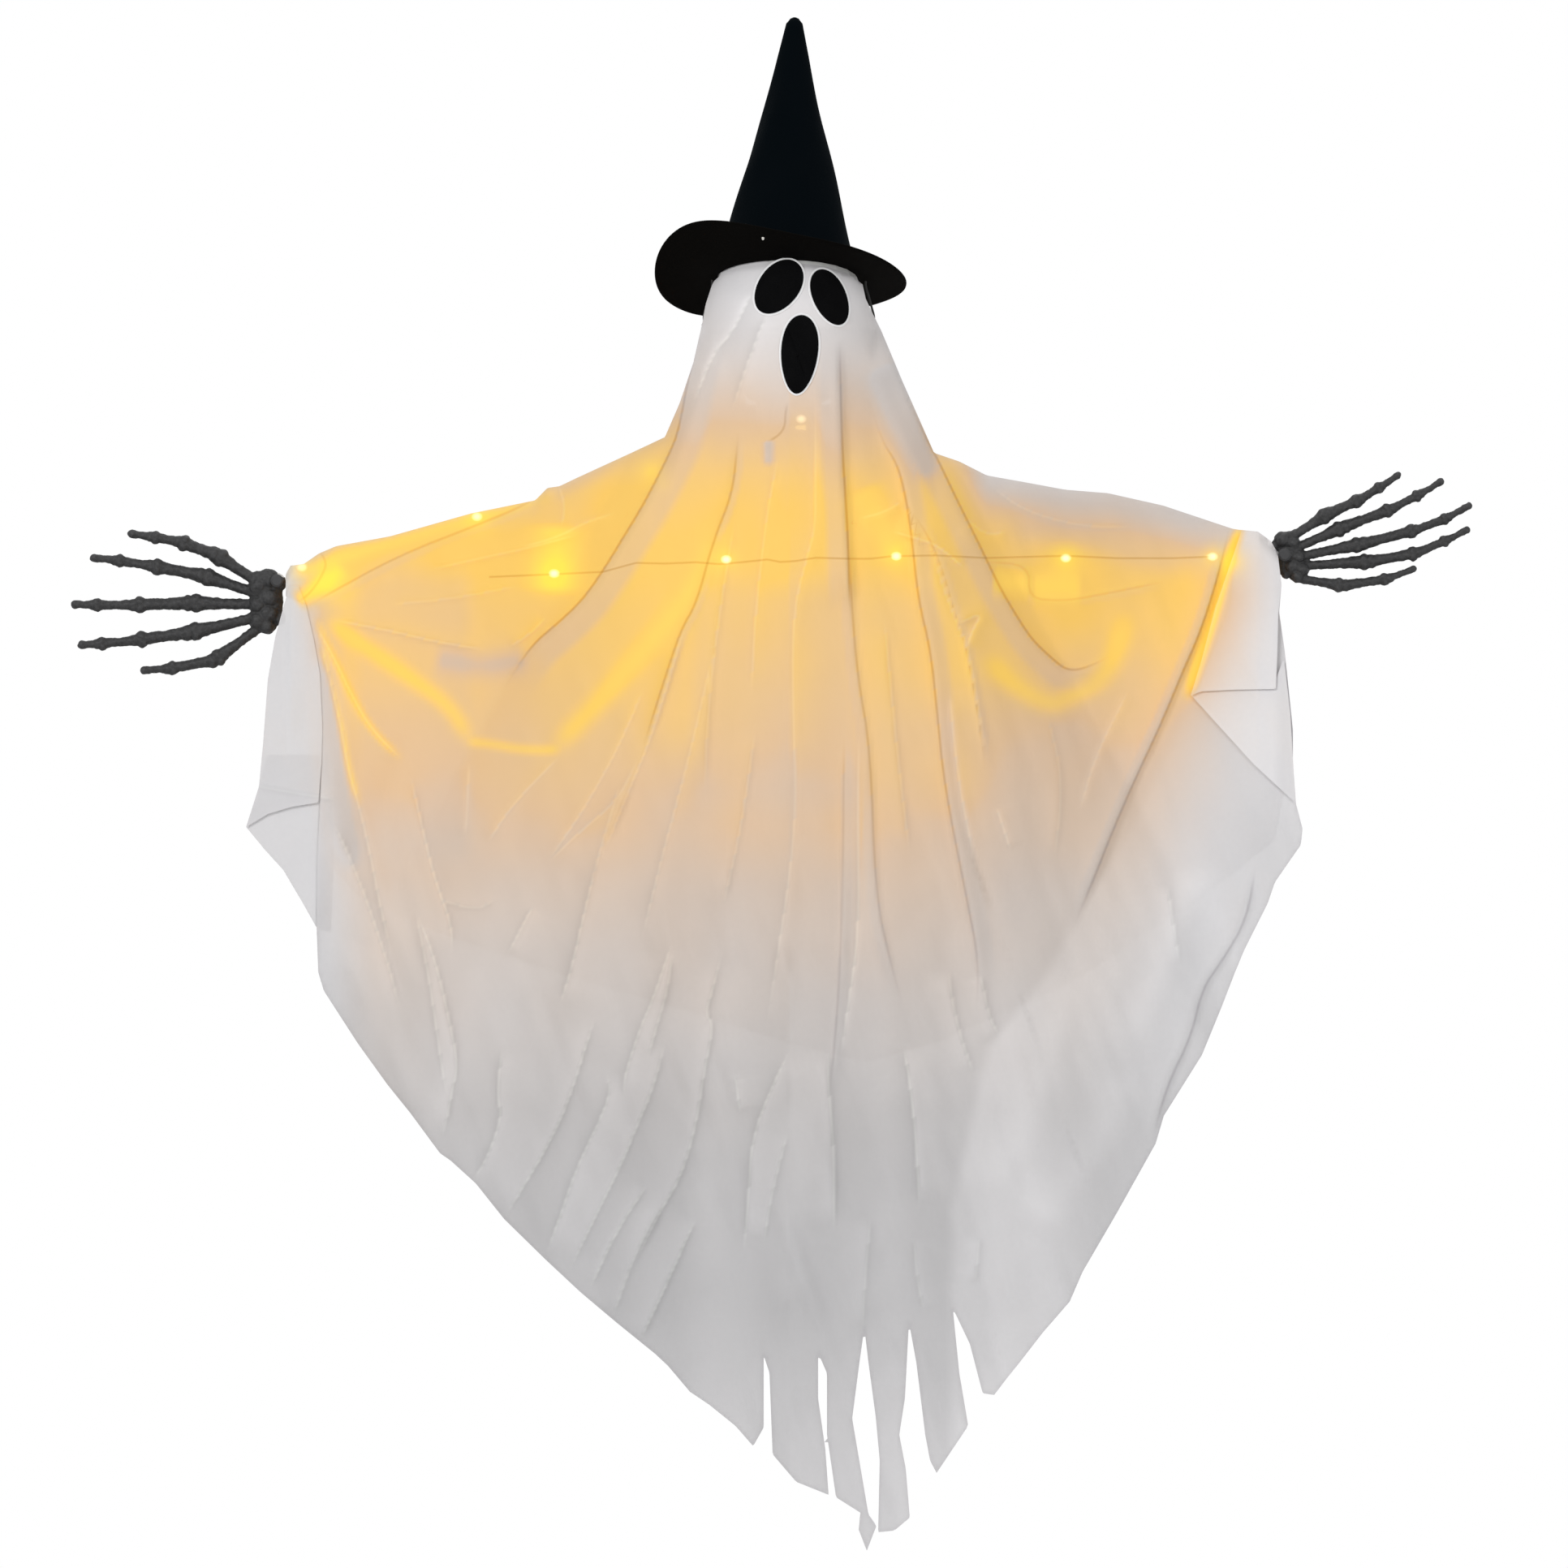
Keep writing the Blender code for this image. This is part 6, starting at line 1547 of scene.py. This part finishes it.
class HangingGhostHands(bpy.types.Operator):
    """The moulded skeleton hands, bone by bone"""

    bl_idname = "object.hanging_ghost_hands"
    bl_label = "Hands"

    def execute(self, context):
        settings = settings_of(context)
        bone = bone_material(settings)
        for side, label, fingers, stout, spread, reach, rise, shift in HANDS:
            wrist = Vector((BAR_SHIFT, 0.0, -BAR_DROP)) + Vector(
                (math.cos(BAR_TILT), 0.0, math.sin(BAR_TILT))) * side * BAR_HALF
            turn = Matrix.Translation(wrist) @ Matrix.Diagonal((side, 1.0, 1.0, 1.0))
            palm = (Matrix.Translation(Vector((shift[0], 0.0, shift[1])) * MM)
                    @ Matrix.Rotation(-math.radians(rise), 4, "Y") @ Matrix.Diagonal((reach, 1.0, spread, 1.0)))
            hand = self.make_hand(f"{label}_hand_bones", fingers, stout, palm, turn, side, settings)
            finish(hand, bone)
            stand_for(hand, f"{label}_hand_body", f"{label}_hand")
        return {"FINISHED"}

    def make_hand(self, name, fingers, stout, palm, turn, side, settings):
        """Bones of one hand, grown together by a fine net and roughened as a casting."""
        pieces = []
        for finger in fingers:
            joints = [Vector((out, -CURL_DEPTH * max(0.0, out / CURL_LENGTH - CURL_START) ** 2, up)) * MM
                      for out, up in finger]
            sizes = BONE_SIZES_MM if len(joints) == 5 else THUMB_SIZES_MM
            for start, end, radii in zip(joints, joints[1:], sizes):
                foot, head, knob = (radius * stout * MM for radius in radii)
                pieces += self.make_bone(start, end, foot, head, knob, end is joints[-1])
        wide, _, tall = palm.to_3x3().to_scale()
        for lumps, thick in ((CARPALS_MM, CARPAL_THICK_MM), (PALM_LUMPS_MM, PALM_THICK_MM)):
            for out, up, long, high, front in lumps:
                middle = palm @ (Vector((out, -front, up)) * MM)
                pieces.append(self.make_lump(middle, (long * MM * wide, thick * MM, high * MM * tall)))
        hand = join_up(name, pieces)
        pits = bpy.data.textures.new(f"{name}_pits", "CLOUDS")
        pits.noise_scale = PIT_SIZE
        add_modifier(hand, "grown_together", "REMESH", mode="VOXEL", voxel_size=settings.bone_net)
        add_modifier(hand, "softened", "SMOOTH", iterations=3, factor=0.5)
        add_modifier(hand, "cast_pits", "DISPLACE", texture=pits, strength=PIT_DEPTH, mid_level=0.52)
        apply_modifiers(hand)
        hand.data.transform(turn)
        if side < 0:
            hand.data.flip_normals()
        hand.data.shade_smooth()
        return hand

    @staticmethod
    def make_lump(middle, halves):
        bpy.ops.mesh.primitive_uv_sphere_add(segments=16, ring_count=10, radius=1.0, location=middle,
                                             scale=halves)
        return bpy.context.active_object

    def make_bone(self, start, end, foot, head, knob, last):
        """One bone: a waisted shaft between a rounded foot and a two-lobed head."""
        way = end - start
        middle = (start + end) / 2
        bpy.ops.mesh.primitive_cone_add(vertices=16, radius1=foot, radius2=head, depth=way.length * 0.92,
                                        location=middle, rotation=way.to_track_quat("Z", "Y").to_euler())
        made = [bpy.context.active_object]
        with editing():
            bpy.ops.mesh.bisect(plane_co=middle, plane_no=way.normalized())
            bpy.ops.transform.resize(value=(BONE_WAIST,) * 3, center_override=middle)
        across = way.normalized().cross(Vector((0.0, 1.0, 0.0)))
        made.append(self.make_lump(start + way * 0.05, (foot * 1.15,) * 3))
        if last:
            made.append(self.make_lump(end - way * 0.05, (head * 1.05,) * 3))
            return made
        for lobe in (-LOBE_APART, LOBE_APART):
            made.append(self.make_lump(end - way.normalized() * knob * LOBE_BACK + across * knob * lobe,
                                       (knob * 0.80, knob * 0.98, knob * 0.80)))
        return made


# Fingers bend forward towards their tips: how far, over what length, and from what share of it on
CURL_DEPTH = 10.0
CURL_LENGTH = 160.0
CURL_START = 0.3
# Half thickness of the wrist's and the palm's lumps, and size and depth of the casting's pits
CARPAL_THICK_MM = 7.0
PALM_THICK_MM = 4.6
PIT_SIZE = 0.0042
PIT_DEPTH = 0.0016
# Waist of a bone as a share of its ends, and where the two lobes of its head are, in shares of their size
BONE_WAIST = 0.82
LOBE_BACK = 0.62
LOBE_APART = 0.36
# The right hand holds its fingers closer and higher: the same joints, measured out from its own wrist
FINGERS_RIGHT_MM = (
    ((7.7, 15.5), (34.4, 32.3), (60.4, 44.0), (77.7, 54.6), (91.1, 63.9)),
    ((9.6, 5.6), (46.8, 21.7), (85.2, 36.3), (108.1, 48.0), (125.8, 58.9)),
    ((10.8, -1.8), (61.0, 8.3), (104.4, 19.5), (130.0, 29.4), (148.0, 39.3)),
    ((10.8, -9.2), (67.2, -5.5), (105.6, 1.3), (129.8, 11.6), (146.1, 20.1)),
    ((8.4, -18.5), (46.8, -24.7), (82.7, -19.2), (104.0, -10.9)),
)
# Side, name, joints, stoutness of the bones, how the palm is squeezed in height and length, turned and shifted
HANDS = (
    (-1, "left", tuple(tuple((out * 1.015, up) for out, up in finger) for finger in FINGERS_MM), 1.22,
     1.0, 1.0, 0.0, (0.0, 0.0)),
    (1, "right", FINGERS_RIGHT_MM, 1.06, 0.82, 0.78, 20.0, (-6.0, 9.0)),
)
# Radius of the foot, the head and the knuckle of each bone of a finger, from the palm outwards
BONE_SIZES_MM = ((3.4, 5.4, 5.4), (4.6, 4.4, 4.9), (3.6, 3.6, 4.0), (3.1, 2.8, 3.0))
THUMB_SIZES_MM = ((3.4, 4.8, 5.0), (4.2, 3.8, 4.2), (3.2, 2.7, 3.0))
# Lumps of the palm: out, up, half length, half height and how far forward
PALM_LUMPS_MM = (
    (14.0, 2.0, 8.5, 6.0, 0.5), (13.0, -8.0, 11.0, 7.0, 1.5), (13.0, -18.0, 11.5, 7.0, 1.5),
    (12.0, -28.0, 10.5, 7.0, 1.0), (8.0, -36.0, 8.0, 5.5, 0.0), (2.0, -16.0, 7.0, 20.0, 0.0),
    (-3.0, -2.0, 5.0, 6.0, 0.0), (-2.0, -30.0, 5.0, 6.0, 0.0)
)


class HangingGhostLamps(bpy.types.Operator):
    """Small clear lamps on the light string"""

    bl_idname = "object.hanging_ghost_lamps"
    bl_label = "Lamps"

    def execute(self, context):
        made, tree, shader = new_material("warm_lamp_glass")
        grain = use_group(tree, "mottled_grain", Coarse=200.0, Fine=900.0, Balance=0.5)["Grain"]
        feed(tree, shader, {
            "Base Color": mix_colour(tree, grain, (1.0, 0.85, 0.45), (1.0, 0.92, 0.60)),
            "Emission Color": mix_colour(tree, grain, (1.0, 0.62, 0.12), (1.0, 0.80, 0.30)),
            "Emission Strength": 4.0, "Roughness": 0.25})
        for lamp in nodes_named("led_"):
            finish(lamp, made)
        return {"FINISHED"}


class HangingGhostHardware(bpy.types.Operator):
    """Finishes of the wire frame, the head, the battery case and the small fittings"""

    bl_idname = "object.hanging_ghost_hardware"
    bl_label = "Hardware"

    def execute(self, context):
        for names, finished in HARDWARE:
            made = plain_material(*finished)
            for name in names:
                finish(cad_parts[name], made)
        for clip in nodes_named("light_clip_"):
            finish(clip, wire_material())
        return {"FINISHED"}


# Small parts and their finish: name, colour, its shade, roughness, how metallic, and both sizes of grain
HARDWARE = (
    (("hanging_ring", "backbone", "set_screw", "contact_plate_left", "contact_plate_right"),
     ("drawn_steel", (0.56, 0.56, 0.57), (0.40, 0.40, 0.42), 0.36, 1.0, 60.0, 1800.0)),
    (("head_bracket", "wire_sleeve", "switch_slider", "wrist_pin_left", "wrist_pin_right",
      "elastic_barb_left"),
     ("black_moulding", (0.040, 0.040, 0.042), (0.018, 0.018, 0.020), 0.5, 0.0, 50.0, 1500.0)),
    (("cross_bar", "hub_block", "head_form", "battery_case", "battery_cover", "elastic_barb_right"),
     ("white_moulding", (0.84, 0.84, 0.82), (0.74, 0.74, 0.72), 0.42, 0.0, 45.0, 1200.0)),
    (("battery_1", "battery_2"),
     ("cell_wrap", (0.10, 0.12, 0.15), (0.05, 0.06, 0.08), 0.32, 0.0, 30.0, 500.0)),
)


class HangingGhostPanel(bpy.types.Panel):
    """The ghost's steps and settings"""

    bl_idname = "VIEW3D_PT_hanging_ghost"
    bl_label = "Hanging Ghost"
    bl_space_type = "VIEW_3D"
    bl_region_type = "UI"
    bl_category = "Ghost"

    def draw(self, context):
        settings = settings_of(context)
        for name in GhostSettings.__annotations__:
            self.layout.prop(settings, name)
        for step in STEPS:
            self.layout.operator(step.bl_idname)


STEPS = (HangingGhostStage, HangingGhostCords, HangingGhostRobe, HangingGhostFace, HangingGhostHat,
         HangingGhostHands, HangingGhostLamps, HangingGhostHardware)


def register():
    for item in (GhostSettings, *STEPS, HangingGhostPanel):
        bpy.utils.register_class(item)
    bpy.types.Scene.hanging_ghost = bpy.props.PointerProperty(type=GhostSettings)


def unregister():
    del bpy.types.Scene.hanging_ghost
    for item in (HangingGhostPanel, *reversed(STEPS), GhostSettings):
        bpy.utils.unregister_class(item)


def main():
    """Builds the looks round the frame, piece by piece."""
    register()
    for make_group in (make_grain_group, make_weave_group, make_wear_group, make_fold_line_group,
                       make_lamp_core_group):
        make_group()
    bpy.ops.scene.hanging_ghost_stage()
    bpy.ops.object.hanging_ghost_cords()
    bpy.ops.object.hanging_ghost_robe()
    bpy.ops.object.hanging_ghost_face()
    bpy.ops.object.hanging_ghost_hat()
    bpy.ops.object.hanging_ghost_hands()
    bpy.ops.object.hanging_ghost_lamps()
    bpy.ops.object.hanging_ghost_hardware()


if __name__ == "__main__":
    main()
